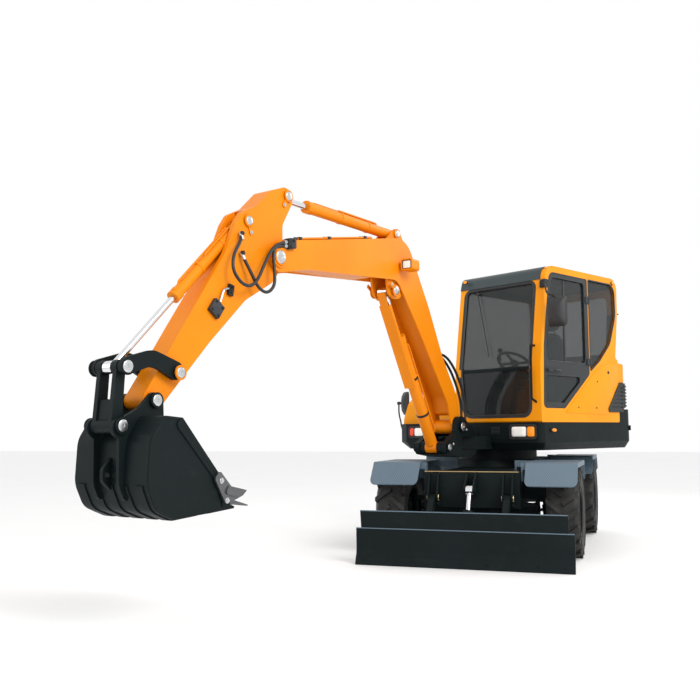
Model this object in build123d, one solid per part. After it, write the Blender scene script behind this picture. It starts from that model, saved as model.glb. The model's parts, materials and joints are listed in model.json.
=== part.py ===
"""Wheeled excavator with a swinging boom, as separate pieces that carry each other.

Millimetres, +Z up, +X towards the blade, +Y towards the machine's left side. The pieces are
modelled about the turntable's axis and then moved so that the origin is the centre of the whole
machine's footprint on the ground. Three frames are used, each with its own x and y:
- the undercarriage, about the turntable's axis;
- the upper structure, about the same axis, turned by UPPER_TURN (x forward, y to the left);
- the boom's plane, about the swing post's pin, turned further by BOOM_TURN (x along the boom).
"""
import math
import os

from build123d import *

# Fits and gaps
FIT = 0.05          # radial clearance of a pin or rod in its bore
SEAT = 0.3          # gap between faces that run on each other
SIDE_GAP = 2.0      # side play of an eye between its ears

# The two turns of the stored pose, in degrees
UPPER_TURN = -27.5
BOOM_TURN = 11.4

# Wheels and axles
WHEEL_BASE = 2075.0
FRONT_AXLE_X = 1035.0
REAR_AXLE_X = FRONT_AXLE_X - WHEEL_BASE
TYRE_OD = 840.0
TYRE_WIDTH = 300.0
TYRE_OUTER_Y = 960.0
LUG_HEIGHT = 26.0
LUG_THICK = 40.0
LUGS_PER_SIDE = 16
LUG_ANGLE = 38.0
RIM_RADIUS = 212.0
RIM_FLANGE = 228.0
RIM_SHEET = 10.0
HUB_RADIUS = 96.0
AXLE_Z = TYRE_OD / 2
WHEEL_Y = TYRE_OUTER_Y - TYRE_WIDTH / 2
KINGPIN_Y = 640.0
KINGPIN_RADIUS = 24.0
STEER_ARM = 170.0
STEER_RAM_LENGTH = 420.0

# Undercarriage frame
FRAME_HALF = 290.0
FRAME_LOW = 560.0
FRAME_TOP = 812.0
FRAME_FRONT = 1500.0
FRAME_REAR = -1425.0
FRONT_BOX_HALF = 448.0
FRONT_BOX_LOW = 480.0
FRONT_BOX_LENGTH = 160.0
REAR_BOX_HALF = 380.0
EAR_SHEET = 14.0
TIE_DOWN_Y = 250.0
TIE_DOWN_RADIUS = 22.0
STEP_FRONT = 420.0
STEP_BACK = -420.0
STEP_OUTER = 850.0
PAD_LOW = 530.0
PEDESTAL_RADIUS = 470.0
PEDESTAL_TOP = 880.0
RING_OUTER = 420.0
RING_INNER = 300.0

# Fenders
FENDER_TOP = 894.0
FENDER_INNER_Y = 497.0
FENDER_OUTER_Y = 962.0
FENDER_FRONT = 1440.0
FENDER_BACK = 640.0
SKIRT_FRONT = 1593.0
SKIRT_LOW = 690.0
FENDER_SHEET = 8.0
FENDER_CORNER = 60.0

# Blade
BLADE_WIDTH = 1925.0
BLADE_FRONT = 2030.0
BLADE_STEP = 323.0
BLADE_TOP = 481.0
BLADE_TOP_WIDTH = 1830.0
BLADE_SHEET = 16.0
BLADE_ARM_Y = 346.0
BLADE_ARM_THICK = 56.0
BLADE_EAR_GAP = 72.0
BLADE_PIVOT = (1560.0, 575.0)
BLADE_ROD_PIN = (1640.0, 650.0)
BLADE_RAM_PIN = (1880.0, 170.0)
BLADE_RAM_Y = 13.0

# Upper structure
DECK_LOW = 991.0
DECK_CREASE = 1066.0
DECK_TOP = 1268.0
DECK_FRONT = 510.0
DECK_LEFT = 931.0
DECK_RIGHT = -1050.0
DECK_BACK = -975.0
TAIL_BACK = -1440.0
TAIL_HALF = 930.0
TAIL_TOP = 1412.0
BUMPER_Z = (1180.0, 1236.0)
BUMPER_DEPTH = 22.0
POST_U = 820.0
POST_V = 105.0
POST_LUG_LOW = 1000.0
POST_LUG_TOP = 1130.0
POST_PIN = 46.0
BAY_FRONT = -640.0
BAY_FLOOR = 1045.0
BAY_HALF = 600.0

# Cab
CAB_RIGHT = -150.0
CAB_LEFT = DECK_LEFT - 1
CAB_WALL = 45.0
CAB_SILL = 1815.0
CAB_GLASS = 6.0
GLASS_INSET = 18.0
CEILING = 2765.0
ROOF_SEAT = 2790.0
ROOF_TOP = 2853.0
ROOF_CROWN = 2862.0
VISOR_LOW = 2706.0
VISOR_SHEET = 16.0
ARCH_WIDTH = 55.0
CAB_REAR = -975.0
CAB_WAIST = 1950.0
CAB_TOP_FRONT = 368.0
SHELF_U = -560.0
SHELF_Z = 1790.0
SCREEN_BAR = (1795.0, 1829.0)
DOOR_GAP = 6.0
DOOR_HINGE = (-400.0, CAB_LEFT + 10.0)
DOOR_HINGE_RADIUS = 9.7
DOOR_HINGE_Z = (1900.0, 2560.0)

# Openings of the cab: side ones as (x, z, corner radius), front and rear ones as (y, z, corner radius)
DOOR_ROWS = [(316, 2784, 90), (438, 2040, 200), (466, 1410, 50), (95, 1410, 50), (-388, 1770, 60),
             (-388, 2784, 20)]
QUARTER_ROWS = [(-412, 2784, 20), (-412, 1806, 10), (-600, 1926, 300), (-820, 2120, 260), (-955, 2440, 300),
                (-945, 2784, 110)]
RIGHT_ROWS = [(310, 2690, 60), (430, 1900, 60), (430, 1840, 40), (-850, 1840, 60), (-900, 2440, 100),
              (-880, 2690, 60)]
SCREEN_ROWS = [(-40, 1340, 110), (800, 1340, 80), (806, 2684, 60), (-72, 2684, 60), (-78, 1850, 0)]
REAR_ROWS = [(-60, 2020, 60), (830, 2020, 60), (830, 2660, 60), (-60, 2660, 60)]
DOOR_UPPER = [(268, 2740, 50), (385, 2030, 200), (385, 1880, 60), (-330, 1880, 60), (-330, 2740, 50)]
DOOR_LOWER = [(420, 1740, 40), (425, 1455, 40), (110, 1455, 40), (-290, 1740, 40)]

# Engine hood and the covers beside it: side outline as (x, z, corner radius), plan as (x, y, corner radius)
HOOD_HALF = 882.0
HOOD_OUTER = 922.0
HOOD_SHEET = 22.0
BULKHEAD_SHEET = 12.0
HOOD_TOP = 1925.0
HOOD_HINGE = (-985.0, 1925.0)
HOOD_KNUCKLE_RADIUS = 9.7
SIDE_COVER_BACK = -1066.0
HOOD_BACK = -1345.0
HOOD_CORNER = [(-1185, HOOD_OUTER, 200), (-1325, 560, 300), (HOOD_BACK, 0, 900)]
HOOD_ROWS = [(CAB_REAR - 4, TAIL_TOP + 0.3, 0), (CAB_REAR - 4, HOOD_TOP, 0), (-1150, 1905, 140),
             (HOOD_BACK - 5, 1640, 200), (HOOD_BACK - 5, TAIL_TOP + 0.3, 0)]
GRILLE_Z = (1430.0, 1700.0)
GRILLE_FINS = 7
TAIL_CORNER = [(-1222, TAIL_HALF, 160), (-1415, 560, 300), (TAIL_BACK, 0, 900)]
VENT_ROWS = [(-700, 1378, 30), (-985, 1700, 60), (-1055, 1712, 20), (-1055, 1378, 20)]

# Pins of the working gear in the boom's plane: (distance ahead of the post's pin, height)
BOOM_FOOT = (221.0, 1230.0)
BOOM_RAM_BASE = (490.0, 1030.0)
BOOM_RAM_TIP = (1320.0, 2455.0)
ARM_PIVOT = (2954.0, 2494.0)
ARM_RAM_BASE = (1222.0, 2999.0)
ARM_RAM_TIP = (2815.0, 2997.0)
BUCKET_RAM_BASE = (3265.0, 2716.0)
LINK_ON_ARM = (3974.0, 1574.0)
LINK_PIN = (4401.0, 1590.0)
BUCKET_PIVOT = (4162.0, 1392.0)
LINK_ON_BUCKET = (4429.0, 1235.0)

# Guard in front of the boom ram: start along the ram, half width, narrow tip between the bosses, clearance
GUARD_START = 690.0
GUARD_HALF = 56.0
GUARD_TIP_HALF = 40.0
GUARD_TIP_LENGTH = 110.0
GUARD_SHEET = 6.0
GUARD_CLEAR = 13.5

# Widths across the boom's plane, from its middle
BOOM_HALF = 120.0
BOOM_SHEET = 14.0
ARM_HALF = 84.0
ARM_TIP_HALF = 100.0
LINK_INNER = 108.0
LINK_OUTER = 136.0
BUCKET_HALF = 330.0
BUCKET_SHEET = 12.0
BUCKET_EAR_INNER = 104.0
BUCKET_EAR_OUTER = 130.0
PIN_RADIUS = 27.0

# Rams: name -> (barrel radius, rod radius, barrel length from its pin, eye radius, half widths of the
# eyes at its base and at its tip)
RAMS = {
    "boom": (56.0, 27.0, 1200.0, 54.0, 59.0, 46.0),
    "arm": (47.0, 25.0, 1262.0, 43.0, 50.0, 38.0),
    "bucket": (41.0, 22.0, 900.0, 42.0, 44.0, 36.0),
    "blade": (46.0, 22.0, 330.0, 42.0, 49.0, 30.0),
}
# How far each rod goes in and out from the stored pose: name -> (in, out)
TRAVEL = {"boom": (360.0, 215.0), "arm": (250.0, 700.0), "bucket": (560.0, 215.0), "blade": (75.0, 35.0)}

# Goose-neck boom, its box and the arm: side outlines (distance ahead, height, corner radius)
BOOM_ROWS = [(135, 1215, 60), (320, 1235, 60), (383, 1450, 300), (913, 2119, 0), (1178, 2430, 100),
             (1290, 2556, 160), (2610, 2453, 300), (2975, 2375, 80), (3070, 2480, 90), (2960, 2621, 80),
             (1130, 2972, 260), (728, 2357, 900), (482, 1914, 600), (200, 1530, 300)]
BOOM_CORE = [(170, 1330, 30), (270, 1360, 30), (309, 1510, 200), (839, 2179, 0), (1118, 2565, 60),
             (1240, 2640, 80), (1520, 2600, 80), (1700, 2520, 80), (2640, 2462, 40), (2715, 2520, 60),
             (2715, 2655, 20), (1132, 2960, 250), (735, 2352, 890), (489, 1909, 590), (210, 1526, 290)]
# Bucket: side outlines (distance ahead, height, corner radius) and its strips
BUCKET_SHELL = [(4118, 1283, 0), (4285, 1296, 60), (4385, 1150, 160), (4402, 880, 180), (4330, 730, 120),
                (4180, 668, 120), (3690, 700, 0), (3745, 870, 0)]
BUCKET_HOLLOW = [(4090, 1269, 0), (4268, 1283, 50), (4370, 1148, 150), (4388, 882, 170), (4320, 740, 110),
                 (4176, 682, 110), (3600, 716, 0), (3600, 1269, 0)]
BUCKET_LIP = [(3900, 684, 0), (3660, 700, 0), (3655, 712, 0), (3680, 722, 0), (3900, 712, 0)]
BUCKET_EAR = [(4090, 1278, 0), (BUCKET_PIVOT[0] - 66, 1400, 60), (BUCKET_PIVOT[0] + 10, 1465, 60),
              (BUCKET_PIVOT[0] + 80, 1390, 60), (4300, 1340, 80), (4400, 1290, 40), (4490, 1270, 60),
              (4490, 1190, 60), (4390, 1120, 0), (4360, 1138, 0), (4262, 1279, 0)]
BUCKET_RIB = [(4300, 1270, 0), (4440, 1190, 60), (4436, 880, 160), (4395, 790, 30), (4340, 790, 0),
              (4340, 1150, 0)]
BUCKET_BORDER = [(4125, 1279, 10), (4190, 1250, 30), (3812, 862, 40), (3770, 716, 0), (3700, 716, 0),
                 (3752, 872, 0)]
BUCKET_EYE = [(4340, 1060, 0), (4400, 1040, 10), (4462, 975, 38), (4462, 905, 38), (4400, 850, 10),
              (4340, 850, 0)]
BUCKET_EYE_HOLE = (4428.0, 940.0)
STRIP_COUNT = 5
STRIP_WIDTH = 62.0
STRIP_PROUD = 8.0
BORDER_PROUD = 8.0

ARM_ROWS = [(2755, 2955, 30), (2765, 3045, 40), (2850, 3062, 40), (3010, 3000, 60), (3175, 2845, 80),
            (3335, 2765, 60), (3395, 2680, 60), (3500, 2440, 200), (3866, 1925, 0), (4120, 1560, 100),
            (4235, 1400, 60), (4180, 1325, 60), (4085, 1345, 50), (3645, 1800, 0), (3286, 2133, 150),
            (2990, 2300, 150), (2870, 2450, 60), (2875, 2760, 100)]


def outline(rows):
    """Closed face from corners (x, z, corner radius); a radius is limited to what its two sides leave."""
    points = [Vector(x, z) for x, z, _ in rows]
    count = len(rows)
    corners = []
    for i, (_, _, radius) in enumerate(rows):
        before = (points[i - 1] - points[i]).normalized()
        after = (points[(i + 1) % count] - points[i]).normalized()
        half = math.radians(before.get_angle(after)) / 2
        corners.append((before, after, half, radius / math.tan(half) if radius else 0.0))
    shares = []
    for i in range(count):
        side = (points[(i + 1) % count] - points[i]).length
        asked = corners[i][3] + corners[(i + 1) % count][3]
        shares.append(min(1.0, side / asked) if asked else 1.0)
    edges, stops = [], []
    for i, (before, after, half, reach) in enumerate(corners):
        reach *= min(shares[i - 1], shares[i])
        radius = reach * math.tan(half)
        middle = points[i] + (before + after).normalized() * (radius / math.sin(half) - radius)
        stops.append((points[i] + before * reach, middle, points[i] + after * reach))
    for i, (start, middle, end) in enumerate(stops):
        if (end - start).length > 0.01:
            edges.append(ThreePointArc(start, middle, end))
        following = stops[(i + 1) % count][0]
        if (following - end).length > 0.01:
            edges.append(Line(end, following))
    return make_face(edges)


def side_plate(rows, low, high):
    """Solid with the side outline of rows (x, z, radius) between two values of y."""
    face = Pos(0, low, 0) * (Plane.XZ * outline(rows))
    return extrude(face, amount=high - low, dir=(0, 1, 0))


def flat_plate(rows, low, high):
    """Solid with the plan outline of rows (x, y, radius) between two heights."""
    return extrude(Pos(0, 0, low) * outline(rows), amount=high - low)


def front_plate(rows, low, high):
    """Solid with the front outline of rows (y, z, radius) between two values of x."""
    face = Pos(low, 0, 0) * (Plane.YZ * outline(rows))
    return extrude(face, amount=high - low, dir=(1, 0, 0))


def across(point, radius, low, high):
    """Round bar along y at a point (x, z), from low to high."""
    return Pos(point[0], (low + high) / 2, point[1]) * Rot(90, 0, 0) * Cylinder(radius, high - low)


def block(x, y, z):
    """Box from three pairs of limits."""
    size = [high - low for low, high in (x, y, z)]
    middle = [(high + low) / 2 for low, high in (x, y, z)]
    return Pos(*middle) * Box(*size)


def both(solid):
    """The solid and its mirror image in the xz plane, as one."""
    return solid + mirror(solid, about=Plane.XZ)


def spin_y(rows):
    """Body of revolution about the y axis from corners (radius, y, corner radius)."""
    return revolve(outline(rows), axis=Axis.Y)


def ram(name, base, tip, base_pin, tip_pin=0.0):
    """Barrel and rod of a ram between two pins in one plane, at y = 0."""
    barrel_radius, rod_radius, length, eye_radius, base_half, tip_half = RAMS[name]
    pull, push = TRAVEL[name]
    span = math.dist(base, tip)
    turn = math.degrees(math.atan2(tip[1] - base[1], tip[0] - base[0]))
    tube_start = eye_radius * 0.8
    bore_start = eye_radius + 8
    rod_start = bore_start + pull + 6
    along = Rot(0, 90, 0)
    tube = Pos((tube_start + length) / 2, 0, 0) * along * Cylinder(barrel_radius, length - tube_start)
    collar = Pos(length - 32, 0, 0) * along * Cylinder(barrel_radius + 5, 64)
    barrel = tube + collar + across((0, 0), eye_radius, -base_half, base_half)
    bore_length = length - bore_start + 1
    bore = Pos(bore_start + bore_length / 2, 0, 0) * along * Cylinder(rod_radius + FIT, bore_length)
    barrel = barrel - bore - across((0, 0), base_pin + FIT, -base_half - 1, base_half + 1)
    rod_length = span - rod_start
    rod = Pos(rod_start + rod_length / 2, 0, 0) * along * Cylinder(rod_radius, rod_length)
    eye = across((span, 0), eye_radius, -tip_half, tip_half)
    rod = rod + eye
    if tip_pin:
        rod = rod - across((span, 0), tip_pin + FIT, -tip_half - 1, tip_half + 1)
    place = Pos(base[0], 0, base[1]) * Rot(0, -turn, 0)
    return place * barrel, place * rod


# Undercarriage

def make_chassis():
    """Frame between the axles with the pads, the blade's ears and the tie-down eyes."""
    spine = side_plate([
        (FRAME_REAR, 600, 40), (FRAME_REAR, FRAME_TOP, 60), (FRAME_FRONT - 20, FRAME_TOP, 20),
        (FRAME_FRONT - 20, FRAME_LOW, 20), (-1250, FRAME_LOW, 60)], -FRAME_HALF, FRAME_HALF)
    front = block((FRAME_FRONT - FRONT_BOX_LENGTH, FRAME_FRONT), (-FRONT_BOX_HALF, FRONT_BOX_HALF),
                  (FRONT_BOX_LOW, FRAME_TOP))
    rear = block((FRAME_REAR, FRAME_REAR + 120), (-REAR_BOX_HALF, REAR_BOX_HALF), (600, FRAME_TOP))
    frame = spine + front + rear
    for axle_x in (FRONT_AXLE_X, REAR_AXLE_X):
        for side in (-1, 1):
            low, high = sorted((side * 145, side * 225))
            frame += block((axle_x - 90, axle_x + 90), (low, high), (PAD_LOW, FRAME_LOW + 10))
    ear_rows = [(FRAME_FRONT - 5, 500, 0), (FRAME_FRONT - 5, 790, 0), (FRAME_FRONT + 30, 790, 10),
                (BLADE_PIVOT[0] + 42, 600, 40), (BLADE_PIVOT[0] + 42, 530, 40), (FRAME_FRONT + 20, 500, 10)]
    for middle in (-BLADE_ARM_Y, BLADE_ARM_Y):
        for side in (-1, 1):
            inner = middle + side * BLADE_EAR_GAP / 2
            low, high = sorted((inner, inner + side * EAR_SHEET))
            frame += side_plate(ear_rows, low, high)
        frame += across(BLADE_PIVOT, PIN_RADIUS, middle - 62, middle + 62)
    clevis_rows = [(FRAME_FRONT - 5, 600, 0), (FRAME_FRONT - 5, 800, 0), (FRAME_FRONT + 40, 800, 10),
                   (BLADE_ROD_PIN[0] + 44, 690, 40), (BLADE_ROD_PIN[0] + 44, 612, 40),
                   (FRAME_FRONT + 60, 600, 20)]
    for side in (-1, 1):
        inner = BLADE_RAM_Y + side * (RAMS["blade"][5] + SIDE_GAP)
        low, high = sorted((inner, inner + side * (EAR_SHEET + 2)))
        frame += side_plate(clevis_rows, low, high)
        low, high = sorted((inner, inner + side * (EAR_SHEET + 8)))
        frame += across(BLADE_ROD_PIN, 30, low, high)
    for side in (-1, 1):
        low, high = side * TIE_DOWN_Y - 12.5, side * TIE_DOWN_Y + 12.5
        eye = side_plate([(FRAME_REAR - 70, 640, 35), (FRAME_REAR - 70, 730, 35), (FRAME_REAR + 5, 750, 0),
                          (FRAME_REAR + 5, 620, 0)], low, high)
        frame += eye - across((FRAME_REAR - 35, 685), TIE_DOWN_RADIUS, low - 8, high + 8)
    return frame


def make_turntable():
    """Cone under the slewing ring, and the ring, welded on the frame's top."""
    ring_top = DECK_LOW - SEAT
    base = PEDESTAL_TOP - FRAME_TOP - SEAT
    cone = Pos(0, 0, FRAME_TOP + SEAT + base / 2) * Cone(PEDESTAL_RADIUS + 30, PEDESTAL_RADIUS, base)
    ring = Pos(0, 0, (PEDESTAL_TOP + ring_top) / 2) * (
        Cylinder(RING_OUTER, ring_top - PEDESTAL_TOP) - Cylinder(RING_INNER, ring_top - PEDESTAL_TOP))
    return cone + ring


def make_steps():
    """Step box on each side between the wheels, on a bracket from the frame, with two treads."""
    steps = None
    for side in (-1, 1):
        def span(inner, outer):
            return sorted((side * inner, side * outer))
        box = side_plate([(STEP_BACK, 470, 40), (STEP_BACK, 760, 30), (STEP_FRONT, 760, 30),
                          (STEP_FRONT, 470, 40)],
                         *span(FRAME_HALF + SEAT, STEP_OUTER - 110))
        box += block((STEP_BACK + 40, STEP_FRONT - 40), span(STEP_OUTER - 111, STEP_OUTER), (744, 760))
        box += block((STEP_BACK + 40, STEP_FRONT - 40), span(STEP_OUTER - 111, STEP_OUTER), (452, 468))
        for x in (STEP_BACK + 40, STEP_FRONT - 52):
            box += block((x, x + 12), span(STEP_OUTER - 130, STEP_OUTER), (452, 760))
        steps = box if steps is None else steps + box
    return steps


def make_fenders(front):
    """Tread plate steps over one axle's wheels, each carried by two brackets from the frame."""
    back_skirt = (FENDER_BACK - 70, FENDER_TOP - 190)
    rows = [(back_skirt[0], back_skirt[1], 0), (FENDER_BACK, FENDER_TOP, 30), (FENDER_FRONT, FENDER_TOP, 30),
            (SKIRT_FRONT, SKIRT_LOW, 0), (SKIRT_FRONT - FENDER_SHEET, SKIRT_LOW - FENDER_SHEET, 0),
            (FENDER_FRONT - FENDER_SHEET / 2, FENDER_TOP - FENDER_SHEET, 22),
            (FENDER_BACK + FENDER_SHEET / 2, FENDER_TOP - FENDER_SHEET, 22),
            (back_skirt[0] + FENDER_SHEET, back_skirt[1] - FENDER_SHEET, 0)]
    sheet = side_plate(rows, FENDER_INNER_Y, FENDER_OUTER_Y)
    sheet &= front_plate([(FENDER_INNER_Y - 1, SKIRT_LOW - 9, FENDER_CORNER),
                          (FENDER_INNER_Y - 1, FENDER_TOP + 1, 0),
                          (FENDER_OUTER_Y + 1, FENDER_TOP + 1, 0), (FENDER_OUTER_Y + 1, SKIRT_LOW - 9,
                                                                    FENDER_CORNER)],
                         FENDER_BACK - 100, SKIRT_FRONT + 10)
    lip = side_plate([(FENDER_BACK, FENDER_TOP - 45, 0), (FENDER_BACK, FENDER_TOP - 4, 0),
                      (FENDER_FRONT, FENDER_TOP - 4, 0), (FENDER_FRONT, FENDER_TOP - 45, 0)],
                     FENDER_OUTER_Y - FENDER_SHEET, FENDER_OUTER_Y)
    fender = sheet + lip
    near_box = FRONT_BOX_HALF if front else REAR_BOX_HALF
    for x, inner in ((FENDER_FRONT - 60, near_box), (FENDER_BACK + 60, FRAME_HALF)):
        bracket = block((x - 25, x + 25), (inner + SEAT, FENDER_OUTER_Y - 120),
                        (FENDER_TOP - FENDER_SHEET - 60, FENDER_TOP - FENDER_SHEET + 2))
        plate = block((x - 25, x + 25), (inner + SEAT, inner + 14), (720, FENDER_TOP - FENDER_SHEET))
        fender += bracket + plate
    if not front:
        fender = mirror(fender, about=Plane.YZ)
        fender = Pos(FRONT_AXLE_X + REAR_AXLE_X, 0, 0) * fender
    return both(fender)


def axle_beam(half):
    """Housing with a round drive case in its middle, tapering to its ends."""
    return spin_y([(0, -half, 0), (88, -half, 0), (78, -half + 60, 30), (84, -190, 60), (122, -100, 60),
                   (128, 0, 0), (122, 100, 60), (84, 190, 60), (78, half - 60, 30), (88, half, 0),
                   (0, half, 0)])


def make_front_axle():
    """Steering axle: housing, yokes with kingpins, saddles under the frame's pads and the steering ram."""
    half = KINGPIN_Y - 78
    beam = axle_beam(half)
    yoke = block((-62, 62), (half - 30, half), (-128, 128))
    for side in (-1, 1):
        ear = flat_plate([(-62, half - 30, 10), (-48, KINGPIN_Y + 42, 40), (48, KINGPIN_Y + 42, 40),
                          (62, half - 30, 10)], *sorted((side * 92, side * 128)))
        yoke += ear
        pin_low, pin_high = (44, 128) if side > 0 else (-128, -44)
        yoke += Pos(0, KINGPIN_Y, (pin_low + pin_high) / 2) * Cylinder(KINGPIN_RADIUS, pin_high - pin_low)
    beam += both(yoke)
    saddle = both(block((-80, 80), (150, 220), (0, PAD_LOW - AXLE_Z - SEAT)))
    ram_body = Pos(-STEER_ARM, 0, 0) * Rot(90, 0, 0) * Cylinder(38, STEER_RAM_LENGTH)
    ram_body += block((-STEER_ARM, -60), (-60, 60), (-30, 30))
    ram_body -= Pos(-STEER_ARM, 0, 0) * Rot(90, 0, 0) * Cylinder(18 + FIT, STEER_RAM_LENGTH + 10)
    return Pos(FRONT_AXLE_X, 0, AXLE_Z) * (beam + saddle + ram_body)


def make_steering_rod():
    """Rod of the steering ram, with an eye at each steering arm."""
    rod = Pos(-STEER_ARM, 0, 0) * Rot(90, 0, 0) * Cylinder(18, 2 * (KINGPIN_Y - 60))
    for side in (-1, 1):
        rod += Pos(-STEER_ARM, side * (KINGPIN_Y - 40), -3) * Cylinder(34, 42)
    return Pos(FRONT_AXLE_X, 0, AXLE_Z) * rod


def make_knuckle(side):
    """Steered hub carrier on its kingpin, with its steering arm behind."""
    barrel = Pos(0, KINGPIN_Y, 0) * Cylinder(46, 2 * (92 - SEAT))
    barrel -= Pos(0, KINGPIN_Y, 0) * Cylinder(KINGPIN_RADIUS + FIT, 2 * 92)
    drum = spin_y([(0, KINGPIN_Y + 40, 0), (70, KINGPIN_Y + 40, 0), (84, KINGPIN_Y + 62, 0),
                   (112, KINGPIN_Y + 78, 10),
                   (112, WHEEL_Y - 24 - SEAT, 0), (0, WHEEL_Y - 24 - SEAT, 0)])
    arm = flat_plate([(-STEER_ARM - 32, KINGPIN_Y - 72, 30), (-STEER_ARM + 34, KINGPIN_Y - 72, 30),
                      (-STEER_ARM + 60, KINGPIN_Y - 30, 20), (0, KINGPIN_Y + 10, 10), (0, KINGPIN_Y + 60, 0),
                      (-40, KINGPIN_Y + 60, 30)], 24, 50)
    arm -= Pos(0, KINGPIN_Y, 37) * Cylinder(KINGPIN_RADIUS + FIT, 40)
    knuckle = barrel + drum + arm
    if side < 0:
        knuckle = mirror(knuckle, about=Plane.XZ)
    return Pos(FRONT_AXLE_X, 0, AXLE_Z) * knuckle


def make_rear_axle():
    """Fixed axle with its drums and saddles."""
    half = WHEEL_Y - 24 - SEAT
    beam = axle_beam(half)
    drum = spin_y([(0, half - 95, 0), (112, half - 95, 12), (112, half, 0), (0, half, 0)])
    beam += both(drum)
    saddle = both(block((-80, 80), (150, 220), (0, PAD_LOW - AXLE_Z - SEAT)))
    return Pos(REAR_AXLE_X, 0, AXLE_Z) * (beam + saddle)


def make_rim():
    """Wheel with its hub, outer side towards +y, about its own centre."""
    half = TYRE_WIDTH / 2 - 18
    well = spin_y([(RIM_RADIUS - RIM_SHEET, -half, 0), (RIM_FLANGE, -half, 4), (RIM_FLANGE, -half + 10, 4),
                   (RIM_RADIUS, -half + 16, 0), (RIM_RADIUS, half - 16, 0), (RIM_FLANGE, half - 10, 4),
                   (RIM_FLANGE, half, 4), (RIM_RADIUS - RIM_SHEET, half, 0)])
    disc = spin_y([(0, -24, 0), (HUB_RADIUS, -24, 0), (HUB_RADIUS + 20, 6, 20), (RIM_RADIUS - 30, 20, 30),
                   (RIM_RADIUS - 4, 44, 0), (RIM_RADIUS - 4, 58, 0), (RIM_RADIUS - 34, 34, 30),
                   (HUB_RADIUS + 30, 22, 20), (HUB_RADIUS, 22, 0), (HUB_RADIUS - 8, 100, 12), (0, 108, 0)])
    return well + disc


def make_tyre():
    """Tyre with chevron lugs, about its own centre."""
    half = TYRE_WIDTH / 2
    tread = TYRE_OD / 2 - LUG_HEIGHT
    bead = half - 36
    carcass = spin_y([(RIM_RADIUS + SEAT, -bead, 0), (RIM_FLANGE + 4, -bead - 6, 0),
                      (RIM_FLANGE + 8, -bead - 24, 0),
                      (330, -half, 0),
                      (tread - 22, -half + 12, 0), (tread, -half + 40, 0), (tread, half - 40, 0),
                      (tread - 22, half - 12, 0), (330, half, 0), (RIM_FLANGE + 8, bead + 24, 0),
                      (RIM_FLANGE + 4, bead + 6, 0), (RIM_RADIUS + SEAT, bead, 0)])
    length = (half - 4) / math.cos(math.radians(LUG_ANGLE))
    lug = Pos(TYRE_OD / 2 - LUG_HEIGHT, half / 2 + 2, 0) * Rot(LUG_ANGLE, 0, 0) * Box(
        2 * LUG_HEIGHT + 8, length, LUG_THICK)
    band = Rot(90, 0, 0) * (Cylinder(TYRE_OD / 2, TYRE_WIDTH - 8) - Cylinder(tread - 26, TYRE_WIDTH))
    lug = lug & band
    pitch = 360 / LUGS_PER_SIDE
    lugs = [Rot(0, pitch * i, 0) * lug for i in range(LUGS_PER_SIDE)]
    lugs += [Rot(0, pitch * (i + 0.5), 0) * mirror(lug, about=Plane.XZ) for i in range(LUGS_PER_SIDE)]
    return carcass + lugs


def make_blade():
    """Dozer blade: curved plate, upper plate, cross tube, two arms and the ram's ears."""
    half = BLADE_WIDTH / 2
    low_plate = side_plate([(BLADE_FRONT, 0, 0), (BLADE_FRONT - 46, 110, 200),
                            (BLADE_FRONT - 40, BLADE_STEP, 0),
                            (BLADE_FRONT - 40 - BLADE_SHEET, BLADE_STEP, 0),
                            (BLADE_FRONT - 46 - BLADE_SHEET, 110, 180), (BLADE_FRONT - 26, 0, 0)], -half,
                            half)
    top_half = BLADE_TOP_WIDTH / 2
    top_plate = side_plate([(BLADE_FRONT - 44, BLADE_STEP - 20, 0), (BLADE_FRONT - 14, BLADE_TOP, 0),
                            (BLADE_FRONT - 28, BLADE_TOP, 0), (BLADE_FRONT - 62, BLADE_STEP - 20, 0)],
                           -top_half, top_half)
    blade = low_plate + top_plate
    back = BLADE_FRONT - 50
    tube = side_plate([(back, 60, 0), (back, 250, 0), (back - 110, 220, 20), (back - 110, 90, 20)], -700, 700)
    blade += tube
    for side in (-1, 1):
        arm = side_plate([(back - 60, 90, 20), (back - 60, 240, 20), (BLADE_PIVOT[0] + 90, 560, 60),
                          (BLADE_PIVOT[0] - 46, 624, 44), (BLADE_PIVOT[0] - 46, 530, 44),
                          (BLADE_PIVOT[0] + 60, 480, 60)],
                         side * BLADE_ARM_Y - BLADE_ARM_THICK / 2, side * BLADE_ARM_Y + BLADE_ARM_THICK / 2)
        blade += arm - across(BLADE_PIVOT, PIN_RADIUS + FIT, side * BLADE_ARM_Y - 40, side * BLADE_ARM_Y + 40)
    eye_half = RAMS["blade"][4] + SIDE_GAP
    blade -= block((BLADE_RAM_PIN[0] - 200, BLADE_RAM_PIN[0] + 62),
                   (BLADE_RAM_Y - eye_half, BLADE_RAM_Y + eye_half), (0, 400))
    for side in (-1, 1):
        inner = BLADE_RAM_Y + side * eye_half
        low, high = sorted((inner, inner + side * 14))
        blade += side_plate([(back - 20, 90, 0), (back - 20, 250, 0), (BLADE_RAM_PIN[0] - 10, 236, 40),
                             (BLADE_RAM_PIN[0] - 60, 170, 50), (BLADE_RAM_PIN[0] - 10, 100, 40)], low, high)
    blade += across(BLADE_RAM_PIN, 22, BLADE_RAM_Y - eye_half - 16, BLADE_RAM_Y + eye_half + 16)
    return blade


# Upper structure, in its own frame

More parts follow.
